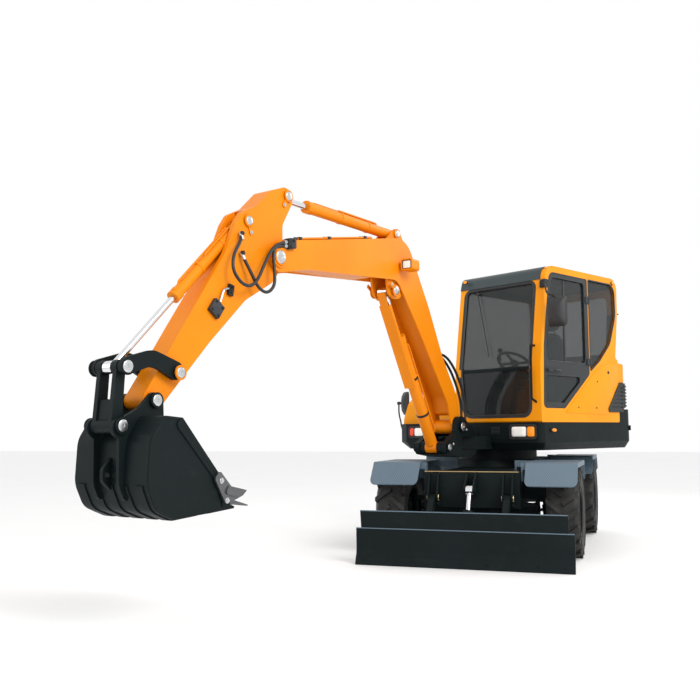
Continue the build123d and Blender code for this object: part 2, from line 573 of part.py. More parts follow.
def make_deck():
    """Revolving frame: bottom plate, skirts with a crease, and the bracket for the swing post."""
    rows = [(DECK_FRONT, DECK_LEFT - 4, 60), (DECK_FRONT, -60, 0), (DECK_FRONT - 60, -110, 20),
            (DECK_FRONT - 60, -420, 20), (DECK_FRONT, -540, 30), (DECK_FRONT, -880, 60),
            (DECK_FRONT - 90, DECK_RIGHT, 60),
            (DECK_BACK, DECK_RIGHT + 110, 0), (DECK_BACK, DECK_LEFT, 0)]
    deck = flat_plate(rows, DECK_CREASE, DECK_TOP)
    low_rows = [(DECK_FRONT - 40, DECK_LEFT - 50, 60), (DECK_FRONT - 40, -60, 0), (DECK_FRONT - 80, -110, 20),
                (DECK_FRONT - 80, -420, 20), (DECK_FRONT - 40, -540, 30), (DECK_FRONT - 40, -850, 60),
                (DECK_FRONT - 130, DECK_RIGHT + 100, 60),
                (DECK_BACK, DECK_RIGHT + 160, 0), (DECK_BACK, DECK_LEFT - 50, 0)]
    deck += loft([Pos(0, 0, DECK_LOW) * outline(low_rows), Pos(0, 0, DECK_CREASE) * outline(rows)])
    lug = flat_plate([(DECK_FRONT - 200, POST_V - 210, 0), (DECK_FRONT + 60, POST_V - 190, 40),
                      (POST_U + 92, POST_V - 86, 80), (POST_U + 92, POST_V + 86, 80),
                      (DECK_FRONT + 60, POST_V + 190, 40), (DECK_FRONT - 200, POST_V + 210, 0)],
                     POST_LUG_LOW, POST_LUG_TOP)
    deck += lug
    return deck - Pos(POST_U, POST_V, 1090) * Cylinder(POST_PIN + FIT, 400)


def make_tail():
    """Counterweight with a rounded back, a bevelled lower edge and a bumper band round its corners."""
    left = [(DECK_BACK - SEAT, TAIL_HALF, 0)] + TAIL_CORNER
    right = [(x, -y, radius) for x, y, radius in reversed(left) if y > 0]
    rows = left + right
    low_rows = [(x + 0.06 * (DECK_BACK - x), 0.95 * y, radius) for x, y, radius in rows]
    tail = flat_plate(rows, DECK_CREASE, TAIL_TOP)
    tail += loft([Pos(0, 0, DECK_LOW) * outline(low_rows), Pos(0, 0, DECK_CREASE) * outline(rows)])
    low, high = BUMPER_Z
    band = extrude(Pos(0, 0, low) * shrink(rows, -BUMPER_DEPTH), amount=high - low)
    band &= block((TAIL_BACK - 100, DECK_BACK - 210), (-TAIL_HALF - 100, TAIL_HALF + 100), BUMPER_Z)
    return tail + band


def cab_side(wall):
    """Rows of the cab's side outline, drawn in by a wall's thickness."""
    return [(DECK_FRONT - wall, DECK_TOP + SEAT + wall, 20), (DECK_FRONT - wall, CAB_SILL, 120),
            (CAB_TOP_FRONT - wall, ROOF_TOP - wall, 140), (CAB_REAR - 25 + wall, ROOF_TOP - wall, 120),
            (CAB_REAR - 25 + wall, 2480, 500), (CAB_REAR + 50 + wall, CAB_WAIST + wall, 60),
            (CAB_REAR + wall, CAB_WAIST, 0), (CAB_REAR + wall, DECK_TOP + SEAT + wall, 20)]


def make_cab():
    """Welded cab: walls with their windows, the door's opening, a seat for the roof and a rear step."""
    outer = side_plate(cab_side(0), CAB_RIGHT, CAB_LEFT)
    low = DECK_TOP + SEAT + CAB_WALL
    inner_rows = [(DECK_FRONT - CAB_WALL, low, 10), (DECK_FRONT - CAB_WALL, CAB_SILL, 100),
                  (CAB_TOP_FRONT + 10 - CAB_WALL, CEILING, 30), (CAB_REAR - 25 + CAB_WALL, CEILING, 60),
                  (CAB_REAR - 25 + CAB_WALL, 2480, 450), (CAB_REAR + 50 + CAB_WALL, SHELF_Z, 10),
                  (SHELF_U, SHELF_Z, 30), (SHELF_U, low, 10)]
    cab = outer - side_plate(inner_rows, CAB_RIGHT + CAB_WALL, CAB_LEFT - CAB_WALL)
    cab -= block((CAB_REAR - 30, BAY_FRONT), (CAB_RIGHT + CAB_WALL, CAB_LEFT - CAB_WALL),
                 (DECK_TOP - 10, SHELF_Z - CAB_WALL))
    cab -= side_plate(roof_rows(0), CAB_RIGHT - 1, CAB_LEFT - ARCH_WIDTH)
    cab -= side_plate(DOOR_ROWS, CAB_LEFT - CAB_WALL - 1, CAB_LEFT + 1)
    cab -= side_plate(QUARTER_ROWS, CAB_LEFT - CAB_WALL - 1, CAB_LEFT + 1)
    cab -= side_plate(RIGHT_ROWS, CAB_RIGHT - 1, CAB_RIGHT + CAB_WALL + 1)
    cab -= front_plate(SCREEN_ROWS, 200, 600)
    cab -= front_plate(REAR_ROWS, -1100, -860)
    return cab


def roof_rows(gap):
    """Side outline of the roof cap and its visor, drawn in at its underside by a gap; open above."""
    lean = (DECK_FRONT - CAB_TOP_FRONT) / (ROOF_TOP - CAB_SILL)
    visor_x = DECK_FRONT - lean * (VISOR_LOW - CAB_SILL)
    seat_x = DECK_FRONT - lean * (ROOF_SEAT - CAB_SILL)
    return [(visor_x - VISOR_SHEET + gap, VISOR_LOW + gap, 0), (visor_x + 40, VISOR_LOW + gap, 0),
            (visor_x + 40, ROOF_TOP + 60, 0), (CAB_REAR - 60, ROOF_TOP + 60, 0),
            (CAB_REAR - 60, ROOF_SEAT + gap, 0),
            (seat_x - VISOR_SHEET + gap, ROOF_SEAT + gap, 0)]


def make_screen_bar():
    """Bar between the two panes of the windscreen, from side to side of its opening."""
    bar = side_plate([(DECK_FRONT - 34, SCREEN_BAR[0], 4), (DECK_FRONT - 34, SCREEN_BAR[1], 4),
                      (DECK_FRONT - 6, SCREEN_BAR[1], 4), (DECK_FRONT - 6, SCREEN_BAR[0], 4)], CAB_RIGHT,
                      CAB_LEFT)
    face = Pos(DECK_FRONT - 100, 0, 0) * (Plane.YZ * shrink(SCREEN_ROWS, SEAT))
    return bar & extrude(face, amount=200, dir=(1, 0, 0))


def make_roof():
    """Roof cap between the cab's left arch and its right side, its front turned down as a visor."""
    shape = side_plate([(CAB_TOP_FRONT + 30, VISOR_LOW - 5, 0), (CAB_TOP_FRONT - 8, ROOF_TOP - 12, 90),
                        (120, ROOF_CROWN, 400), (CAB_REAR + 130, ROOF_CROWN - 4, 100),
                        (CAB_REAR + 4, ROOF_SEAT - 5, 30)], CAB_RIGHT, CAB_LEFT - ARCH_WIDTH - SEAT)
    return shape & side_plate(roof_rows(SEAT), CAB_RIGHT - 1, CAB_LEFT)


def make_glass():
    """Fixed panes of the cab: front upper, front lower, rear, left quarter and right side."""
    skin = side_plate(cab_side(GLASS_INSET), CAB_RIGHT, CAB_LEFT)
    skin -= side_plate(cab_side(GLASS_INSET + CAB_GLASS), CAB_RIGHT, CAB_LEFT)
    screen = skin & front_plate(SCREEN_ROWS, 300, 600)
    screen -= block((300, 600), (CAB_RIGHT, CAB_LEFT), (SCREEN_BAR[0] - SEAT, SCREEN_BAR[1] + SEAT))
    glass = screen + (skin & front_plate(REAR_ROWS, -1100, -860))
    glass += side_plate(QUARTER_ROWS, CAB_LEFT - GLASS_INSET - CAB_GLASS, CAB_LEFT - GLASS_INSET)
    glass += side_plate(RIGHT_ROWS, CAB_RIGHT + GLASS_INSET, CAB_RIGHT + GLASS_INSET + CAB_GLASS)
    return glass


def shrink(rows, gap):
    """Rows of an outline drawn in evenly by a gap."""
    face = offset(outline(rows), amount=-gap, kind=Kind.INTERSECTION)
    return face


def make_door():
    """Door frame with its two openings; it fills its gap in the cab's wall."""
    thick = CAB_WALL - 6
    low = CAB_LEFT - thick
    face = Pos(0, low, 0) * (Plane.XZ * shrink(DOOR_ROWS, DOOR_GAP))
    door = extrude(face, amount=thick, dir=(0, 1, 0))
    door -= side_plate(DOOR_UPPER, low - 1, CAB_LEFT + 1)
    door -= side_plate(DOOR_LOWER, low - 1, CAB_LEFT + 1)
    handle = block((300, 400), (CAB_LEFT - 2, CAB_LEFT + 26), (1772, 1796))
    door += handle
    for z in DOOR_HINGE_Z:
        door += Pos(DOOR_HINGE[0], DOOR_HINGE[1], z) * Cylinder(DOOR_HINGE_RADIUS, 80)
        door += block((DOOR_HINGE[0], DOOR_HINGE[0] + 60), (CAB_LEFT + SEAT, CAB_LEFT + 12), (z - 35, z + 35))
        door += block((DOOR_HINGE[0] + 24, DOOR_HINGE[0] + 60), (CAB_LEFT - 2, CAB_LEFT + 12),
                      (z - 35, z + 35))
    return door


def make_door_glass():
    """Upper and lower panes of the door."""
    glass = side_plate(DOOR_UPPER, CAB_LEFT - 24, CAB_LEFT - 18)
    return glass + side_plate(DOOR_LOWER, CAB_LEFT - 24, CAB_LEFT - 18)


def make_seat():
    """Base, cushion and back, each seated on the one below, with a head pad on two posts."""
    middle = (CAB_RIGHT + CAB_LEFT) / 2
    floor = DECK_TOP + SEAT + CAB_WALL
    base = side_plate([(-60, floor + SEAT, 20), (-60, floor + 320, 30), (-480, floor + 320, 30),
                       (-480, floor + SEAT, 20)], middle - 190, middle + 190)
    cushion = side_plate([(30, floor + 320 + SEAT, 40), (30, floor + 430, 50), (-430, floor + 410, 30),
                          (-430, floor + 320 + SEAT, 30)], middle - 240, middle + 240)
    back = side_plate([(-330, floor + 412 + SEAT, 20), (-430, floor + 940, 60), (-520, floor + 940, 60),
                       (-470, floor + 412 + SEAT, 20)], middle - 230, middle + 230)
    pad = side_plate([(-425, floor + 965, 30), (-438, floor + 1078, 40), (-520, floor + 1078, 40),
                      (-510, floor + 965, 30)], middle - 130, middle + 130)
    for side in (-1, 1):
        pad += Pos(-474, middle + side * 70, floor + 952) * Cylinder(8, 50)
    return base + cushion + (back + pad)


def make_console():
    """Boxes beside the seat, each with a lever."""
    middle = (CAB_RIGHT + CAB_LEFT) / 2
    floor = DECK_TOP + SEAT + CAB_WALL
    console = None
    for side in (-1, 1):
        low, high = sorted((middle + side * 260, middle + side * 370))
        box = side_plate([(60, floor + 400, 40), (60, floor + 560, 50), (-400, floor + 560, 30),
                          (-400, floor + SEAT, 0),
                          (-150, floor + SEAT, 0)], low, high)
        lever = Pos(10, (low + high) / 2, floor + 640) * (Cylinder(9, 180) + Pos(0, 0, 110) * Sphere(28))
        console = box + lever if console is None else console + box + lever
    return console


def make_steering_wheel():
    """Leaning column with its wheel."""
    middle = (CAB_RIGHT + CAB_LEFT) / 2
    floor = DECK_TOP + SEAT + CAB_WALL
    column = side_plate([(400, floor + SEAT, 20), (230, floor + 560, 30), (170, floor + 540, 30),
                         (290, floor + SEAT, 0)],
                        middle - 60, middle + 60)
    wheel = Torus(180, 15) + Cylinder(50, 30) + Box(350, 26, 14) + Rot(0, 0, 90) * Box(350, 26, 14)
    wheel += Pos(0, 0, -50) * Cylinder(18, 100)
    return column + Pos(190, middle, floor + 580) * Rot(0, -35, 0) * wheel


def hood_plan(grow, front):
    """Plan outline of the engine hood, rounded at its two rear corners and let out by grow."""
    left = [(front, HOOD_OUTER + grow, 0)]
    left += [(x - grow, y + (grow if y else 0), radius) for x, y, radius in HOOD_CORNER]
    return left + [(x, -y, radius) for x, y, radius in reversed(left) if y > 0]


def make_bay_sides():
    """Cover on each side, between the cab's rear wall and the hood's corner, and the bay's bulkhead."""
    rows = [(CAB_REAR - 3, TAIL_TOP + SEAT, 0), (CAB_REAR - 3, HOOD_TOP - 3, 20),
            (SIDE_COVER_BACK, HOOD_TOP - 12, 30), (SIDE_COVER_BACK, TAIL_TOP + SEAT, 0)]
    covers = both(side_plate(rows, HOOD_HALF + 6, HOOD_OUTER))
    wall = (CAB_REAR, CAB_REAR + BULKHEAD_SHEET)
    covers += block(wall, (-HOOD_OUTER, CAB_RIGHT - SEAT), (DECK_TOP + SEAT, HOOD_TOP - 3))
    covers += block((CAB_REAR - 6, wall[1]), (-HOOD_OUTER, -HOOD_HALF - 6), (TAIL_TOP + SEAT, HOOD_TOP - 20))
    return covers


def make_hood():
    """Engine hood: a lid with rounded rear corners, hollow, open below and in front, on two knuckles."""
    front = CAB_REAR - 4
    outer = side_plate(HOOD_ROWS, -HOOD_OUTER - 5, HOOD_OUTER + 5)
    outer &= flat_plate(hood_plan(0, front), TAIL_TOP + SEAT, HOOD_TOP + 10)
    inner_rows = [(front + 40, TAIL_TOP - 10, 0), (front + 40, HOOD_TOP - HOOD_SHEET, 0),
                  (-1145, 1905 - HOOD_SHEET, 120), (HOOD_BACK + HOOD_SHEET, 1630, 180),
                  (HOOD_BACK + HOOD_SHEET, TAIL_TOP - 10, 0)]
    inner = side_plate(inner_rows, -HOOD_OUTER, HOOD_OUTER)
    inner &= flat_plate(hood_plan(-HOOD_SHEET, front + 50), TAIL_TOP - 20, HOOD_TOP + 10)
    hood = outer - inner
    hood -= both(block((SIDE_COVER_BACK - 6, CAB_REAR + 30), (HOOD_HALF, HOOD_OUTER + 20),
                       (TAIL_TOP - 5, HOOD_TOP + 20)))
    for side in (-1, 1):
        low, high = sorted((side * 420, side * 520))
        hood += across(HOOD_HINGE, HOOD_KNUCKLE_RADIUS, low, high)
        hood += block((HOOD_HINGE[0] - 60, HOOD_HINGE[0]), (low + 5, high - 5), (HOOD_TOP - 12, HOOD_TOP + 5))
    return hood


def make_hood_grille():
    """Dark outlets with fins, wrapped round the hood's two rear corners."""
    low, high = GRILLE_Z
    front = SIDE_COVER_BACK - 8
    skin = flat_plate(hood_plan(8, front), low, high) - flat_plate(hood_plan(SEAT, front + 9), low - 1,
                                                                   high + 1)
    pitch = (high - low - 20) / GRILLE_FINS
    for i in range(GRILLE_FINS):
        bottom = low + 14 + pitch * i
        top = bottom + 0.45 * pitch
        skin += flat_plate(hood_plan(18, front), bottom, top) - flat_plate(hood_plan(6, front + 9),
                                                                           bottom - 1, top + 1)
    return skin & both(block((HOOD_BACK - 100, front + 1), (640, 1000), (low - 5, high + 5)))


def make_engine():
    """Engine and pumps, as one plain block on the bay's floor."""
    return block((-1190, -690), (CAB_RIGHT + CAB_WALL + 10, 590), (BAY_FLOOR + SEAT, 1640))


def make_right_cover():
    """Rounded housing over the tank on the right, with the front step's yellow edge below it."""
    rows = [(DECK_RIGHT + 10, DECK_TOP + SEAT, 0), (DECK_RIGHT + 14, 1330, 60), (DECK_RIGHT + 110, 1560, 80),
            (CAB_RIGHT - 50, 1600, 40), (CAB_RIGHT - 50, DECK_TOP + SEAT, 0)]
    cover = front_plate(rows, CAB_REAR + BULKHEAD_SHEET + 3, 380)
    return cover & side_plate([(DECK_BACK, DECK_TOP, 0), (DECK_BACK, 1650, 0), (300, 1650, 160),
                               (385, 1480, 120),
                               (385, DECK_TOP, 0)], DECK_RIGHT, CAB_RIGHT)


def make_side_vent():
    """Dark outlet panel behind the door, slanted in front, with louvres, on the cab and the side cover."""
    vent = side_plate(VENT_ROWS, CAB_LEFT + SEAT, CAB_LEFT + 12)
    vent += side_plate([(CAB_REAR - 1, 1420, 0), (CAB_REAR - 1, 1700, 0), (-1055, 1706, 14),
                        (-1055, 1420, 0)],
                       HOOD_OUTER + SEAT, CAB_LEFT + 6)
    (_, low, _), (slant_x, slant_z, _) = VENT_ROWS[0], VENT_ROWS[1]
    for i in range(6):
        z = low + 46 + 42 * i
        end = VENT_ROWS[0][0] + (z - low) * (slant_x - VENT_ROWS[0][0]) / (slant_z - low) - 60
        vent -= block((-1035, end), (CAB_LEFT + 4, CAB_LEFT + 13), (z, z + 18))
    return vent


def make_handrails():
    """Bent bar beside the windscreen."""
    x, y = DECK_FRONT + 38, 845
    path = FilletPolyline((DECK_FRONT - 60, y, 2030), (x, y, 2030), (x, y, 1500),
                          (DECK_FRONT - 10, y + 30, 1462),
                          radius=16)
    rail = sweep(Plane(path @ 0, z_dir=path % 0) * Circle(11), path)
    return rail - side_plate(cab_side(-SEAT), 700, 1000)


def make_mirrors():
    """Mirror on the roof's left corner, and one on the deck's right corner."""
    left = block((384, 480), (CAB_LEFT + SEAT, 960), (2600, 2632)) + block((450, 480), (950, 1000),
                                                                           (2400, 2632))
    left += block((440, 472), (985, 1215), (2195, 2510))
    right = block((250, 330), (-1210, DECK_RIGHT - SEAT), (1125, 1240)) + Pos(290, -1160,
                                                                              1400) * Cylinder(12, 360)
    right += block((280, 320), (-1120, -1020), (1370, 1645)) + block((285, 305), (-1165, -1110), (1480, 1520))
    return left + right


def make_lamps():
    """Head lamps in the deck's front."""
    lamps = block((DECK_FRONT + SEAT, DECK_FRONT + 14), (565, 860), (1115, 1235))
    lamps += block((DECK_FRONT + SEAT, DECK_FRONT + 14), (-820, -600), (1125, 1230))
    return lamps


# Working gear, in the boom's plane

def make_post():
    """Swing post: pin in the frame's lug, ears for the boom's foot and for its ram."""
    side = side_plate([(-95, 960, 40), (-95, 1180, 60), (130, 1300, 60), (180, 1330, 60), (300, 1330, 90),
                       (BOOM_FOOT[0] + 100, 1180, 60), (BOOM_RAM_BASE[0] + 62, 1060, 50),
                       (BOOM_RAM_BASE[0] + 40, 965, 50), (250, 930, 60), (0, 930, 60)], -175, 175)
    gap = side_plate([(120, 1120, 60), (400, 1000, 60), (700, 900, 0), (700, 1500, 0), (60, 1500, 0)],
                     -BOOM_HALF - SIDE_GAP, BOOM_HALF + SIDE_GAP)
    post = side - gap
    post -= Pos(0, 0, (POST_LUG_LOW + POST_LUG_TOP) / 2) * Cylinder(140, POST_LUG_TOP - POST_LUG_LOW + 2 * 3)
    post -= flat_plate([(-300, -320, 0), (215, -320, 0), (215, -178, 0), (125, -88, 20), (125, 88, 20),
                        (215, 178, 0),
                        (215, 320, 0), (-300, 320, 0)], POST_LUG_LOW - 3, POST_LUG_TOP + 3)
    post += Pos(0, 0, 1060) * Cylinder(POST_PIN, 260)
    post += Pos(0, 0, 965) * Cylinder(104, 70) + Pos(0, 0, 1165) * Cylinder(104, 64)
    post += across(BOOM_FOOT, 38, -190, 190)
    ram_half = RAMS["boom"][4] + SIDE_GAP
    for sign in (-1, 1):
        low, high = sorted((sign * ram_half, sign * (BOOM_HALF + SIDE_GAP + 5)))
        post += side_plate([(380, 960, 30), (BOOM_RAM_BASE[0] - 40, 1090, 50),
                            (BOOM_RAM_BASE[0] + 40, 1080, 50),
                            (BOOM_RAM_BASE[0] + 40, 965, 50)], low, high)
    post += across(BOOM_RAM_BASE, 30, -185, 185)
    return post


def make_boom():
    """Goose-neck boom: two side plates, the box between them, the foot, the nose fork and the ram's ears."""
    boom = side_plate(BOOM_CORE, -BOOM_HALF + BOOM_SHEET, BOOM_HALF - BOOM_SHEET)
    for sign in (-1, 1):
        low, high = sorted((sign * (BOOM_HALF - BOOM_SHEET), sign * BOOM_HALF))
        boom += side_plate(BOOM_ROWS, low, high)
        low, high = sorted((sign * 70, sign * 92))
        boom += side_plate([(1070, 2560, 0), (1210, 2400, 60), (1300, 2380, 70), (1395, 2420, 60),
                            (1440, 2660, 0), (1100, 2680, 0)], low, high)
        boom += across(BOOM_RAM_TIP, 30, *sorted((sign * (RAMS["boom"][5] + SIDE_GAP), sign * 100)))
        boom += across(ARM_PIVOT, 80, *sorted((sign * 106, sign * 132)))
        low, high = sorted((sign * (RAMS["arm"][4] + SIDE_GAP), sign * (RAMS["arm"][4] + SIDE_GAP + 18)))
        boom += side_plate([(1090, 2930, 0), (1150, 3010, 60), (ARM_RAM_BASE[0], 3062, 60), (1290, 3010, 60),
                            (1420, 2900, 0)], low, high)
    boom += across(BOOM_FOOT, 72, -BOOM_HALF, BOOM_HALF)
    boom -= across(BOOM_FOOT, 38 + FIT, -BOOM_HALF - 1, BOOM_HALF + 1)
    boom += across(ARM_PIVOT, 36, -BOOM_HALF, BOOM_HALF)
    boom += across(ARM_RAM_BASE, 26, -76, 76)
    return boom


def make_arm():
    """Dipper arm: tapered box with ears at its head, its back and its tip."""
    arm = side_plate(ARM_ROWS, -ARM_HALF, ARM_HALF)
    head = RAMS["arm"][5] + SIDE_GAP
    arm -= side_plate([(2700, 2890, 0), (2700, 3100, 0), (2890, 3100, 0), (2890, 2950, 40), (2840, 2890, 40)],
                      -head, head)
    back = RAMS["bucket"][4] + SIDE_GAP
    slope = math.degrees(math.atan2(LINK_PIN[1] - BUCKET_RAM_BASE[1], LINK_PIN[0] - BUCKET_RAM_BASE[0]))
    slot = Pos(420, 0, 40) * Box(960, 2 * back, 2 * 110)
    arm -= Pos(BUCKET_RAM_BASE[0], 0, BUCKET_RAM_BASE[1]) * Rot(0, -slope, 0) * slot
    arm += across(ARM_PIVOT, 84, -102, 102)
    arm -= across(ARM_PIVOT, 36 + FIT, -110, 110)
    for sign in (-1, 1):
        arm += across(ARM_RAM_TIP, 26, *sorted((sign * head, sign * (ARM_HALF + 10))))
    arm += across(BUCKET_RAM_BASE, 24, -ARM_HALF - 10, ARM_HALF + 10)
    arm += across(BUCKET_PIVOT, 56, -ARM_TIP_HALF, ARM_TIP_HALF)
    arm -= across(BUCKET_PIVOT, PIN_RADIUS + FIT, -ARM_TIP_HALF - 1, ARM_TIP_HALF + 1)
    arm += across(LINK_ON_ARM, 50, -ARM_TIP_HALF, ARM_TIP_HALF)
    arm += across(LINK_ON_ARM, PIN_RADIUS, -LINK_OUTER - 16, LINK_OUTER + 16)
    return arm


def make_side_links():
    """Pair of curved links outside the arm, each with a stub of the link pin."""
    rows = [(LINK_ON_ARM[0] - 52, LINK_ON_ARM[1] - 20, 40), (LINK_ON_ARM[0] - 30, LINK_ON_ARM[1] + 60, 60),
            (4190, 1710, 160), (LINK_PIN[0] + 30, LINK_PIN[1] + 50, 50),
            (LINK_PIN[0] + 50, LINK_PIN[1] - 30, 40),
            (LINK_PIN[0] - 30, LINK_PIN[1] - 46, 40), (4190, 1610, 160),
            (LINK_ON_ARM[0] + 30, LINK_ON_ARM[1] - 52, 50)]
    link = side_plate(rows, LINK_INNER, LINK_OUTER)
    link -= across(LINK_ON_ARM, PIN_RADIUS + FIT, LINK_INNER - 1, LINK_OUTER + 1)
    link += across(LINK_PIN, 44, LINK_INNER, LINK_OUTER + 10)
    return both(link)


def make_bucket_link():
    """H-shaped link between the bucket and the link pin."""
    dx, dz = LINK_PIN[0] - LINK_ON_BUCKET[0], LINK_PIN[1] - LINK_ON_BUCKET[1]
    long = math.hypot(dx, dz)
    turn = math.degrees(math.atan2(dz, dx))
    bar = across((0, 0), 46, 40, 98) + across((long, 0), 46, 44, 98)
    bar += side_plate([(0, -40, 0), (long, -34, 0), (long, 34, 0), (0, 40, 0)], 56, 90)
    link = both(bar) + side_plate([(-30, -30, 10), (long * 0.45, -24, 10), (long * 0.45, 24, 10),
                                   (-30, 30, 10)], -60, 60)
    link += across((0, 0), 46, -98, 98)
    link -= across((0, 0), PIN_RADIUS + FIT, -99, 99)
    return Pos(LINK_ON_BUCKET[0], 0, LINK_ON_BUCKET[1]) * Rot(0, -turn, 0) * link


def make_bucket():
    """Digging bucket: shell, side plates with borders, lip, wear strips, ears with ribs, lifting eye."""
    outer = side_plate(BUCKET_SHELL, -BUCKET_HALF, BUCKET_HALF)
    inner = side_plate(BUCKET_HOLLOW, -BUCKET_HALF + BUCKET_SHEET, BUCKET_HALF - BUCKET_SHEET)
    bucket = outer - inner
    bucket += side_plate(BUCKET_LIP, -BUCKET_HALF, BUCKET_HALF)
    for i in range(STRIP_COUNT):
        y = -BUCKET_HALF + 66 + i * (2 * BUCKET_HALF - 132) / (STRIP_COUNT - 1)
        low, high = y - STRIP_WIDTH / 2, y + STRIP_WIDTH / 2
        face = Pos(0, low, 0) * (Plane.XZ * offset(outline(BUCKET_SHELL), amount=STRIP_PROUD))
        strip = extrude(face, amount=high - low, dir=(0, 1, 0))
        strip -= side_plate(BUCKET_HOLLOW, low - 1, high + 1)
        bucket += strip & block((3960, 4500), (low - 1, high + 1), (600, 880))
    reach = Plane.XZ * offset(outline(BUCKET_HOLLOW), amount=4)
    for sign in (-1, 1):
        low, high = sorted((sign * BUCKET_EAR_INNER, sign * BUCKET_EAR_OUTER))
        ear = side_plate(BUCKET_EAR, low, high) + side_plate(BUCKET_RIB, low, high)
        bucket += ear - extrude(Pos(0, low - 1, 0) * reach, amount=high - low + 2, dir=(0, 1, 0))
        low, high = sorted((sign * BUCKET_HALF, sign * (BUCKET_HALF + BORDER_PROUD)))
        bucket += side_plate(BUCKET_BORDER, low, high)
    eye = side_plate(BUCKET_EYE, -13, 13) - across(BUCKET_EYE_HOLE, 18, -14, 14)
    bucket += eye - extrude(Pos(0, -20, 0) * reach, amount=40, dir=(0, 1, 0))
    for pin in (BUCKET_PIVOT, LINK_ON_BUCKET):
        bucket += across(pin, PIN_RADIUS, -BUCKET_EAR_OUTER - 14, BUCKET_EAR_OUTER + 14)
        for sign in (-1, 1):
            low, high = sorted((sign * BUCKET_EAR_INNER, sign * (BUCKET_EAR_OUTER + 8)))
            bucket += across(pin, PIN_RADIUS + 20, low, high)
    return bucket


def make_bucket_teeth():
    """Five teeth on the lip, and a ribbed cutter bolted on each side plate."""
    teeth = None
    for i in range(5):
        y = -BUCKET_HALF + 45 + i * (2 * BUCKET_HALF - 90) / 4
        tooth = side_plate([(3780, 722 + SEAT, 0), (3760, 752, 10), (3640, 750, 0), (3512, 712, 0),
                            (3514, 704, 0),
                            (3650, 722 + SEAT, 0)], y - 32, y + 32)
        teeth = tooth if teeth is None else teeth + tooth
    start = BUCKET_HALF + BORDER_PROUD + SEAT
    for sign in (-1, 1):
        low, high = sorted((sign * start, sign * (start + 16)))
        cutter = side_plate([(3815, 950, 20), (3710, 845, 0), (3560, 812, 0), (3600, 780, 0), (3660, 760, 0),
                             (3760, 735, 20), (3860, 900, 20)], low, high)
        low, high = sorted((sign * (start + 10), sign * (start + 26)))
        cutter += side_plate([(3740, 850, 10), (3600, 800, 0), (3660, 776, 0), (3775, 800, 20)], low, high)
        teeth += cutter
    return teeth


def make_ram_guard():
    """Folded sheet in front of the boom ram's rod, on a block that seats on the rod's eye."""
    span = math.dist(BOOM_RAM_BASE, BOOM_RAM_TIP)
    turn = math.degrees(math.atan2(BOOM_RAM_TIP[1] - BOOM_RAM_BASE[1], BOOM_RAM_TIP[0] - BOOM_RAM_BASE[0]))
    front, eye = RAMS["boom"][0] + GUARD_CLEAR, RAMS["boom"][3]
    back, narrow = -front - GUARD_SHEET, span - GUARD_TIP_LENGTH
    guard = block((GUARD_START, narrow), (-GUARD_HALF, GUARD_HALF), (back, -front))
    guard += block((narrow - 1, span + 20), (-GUARD_TIP_HALF, GUARD_TIP_HALF), (back, -front))
    for side in (-1, 1):
        low, high = sorted((side * (GUARD_HALF - GUARD_SHEET), side * GUARD_HALF))
        guard += block((GUARD_START + 30, narrow), (low, high), (back, -front + 26))
    guard += block((span - 45, span + 15), (-GUARD_TIP_HALF, GUARD_TIP_HALF), (back + 3, -eye - SEAT))
    return Pos(BOOM_RAM_BASE[0], 0, BOOM_RAM_BASE[1]) * Rot(0, -turn, 0) * guard


def make_boom_lamp():
    """Work lamp on a bracket on the boom's left side."""
    low = BOOM_HALF + SEAT
    house = front_plate([(low + 30, 2640, 24), (low + 150, 2640, 24), (low + 150, 2745, 24),
                         (low + 30, 2745, 24)],
                        1150, 1280)
    house -= front_plate([(low + 42, 2652, 14), (low + 138, 2652, 14), (low + 138, 2733, 14),
                          (low + 42, 2733, 14)],
                         1268, 1281)
    return house + block((1180, 1240), (low, low + 31), (2660, 2720))


def place_upper(solid):
    """Turn a solid from the upper structure's frame into the undercarriage's."""
    return Rot(0, 0, UPPER_TURN) * solid


def place_gear(solid):
    """Turn a solid from the boom's plane into the undercarriage's frame."""
    return place_upper(Pos(POST_U, POST_V, 0) * Rot(0, 0, BOOM_TURN) * solid)


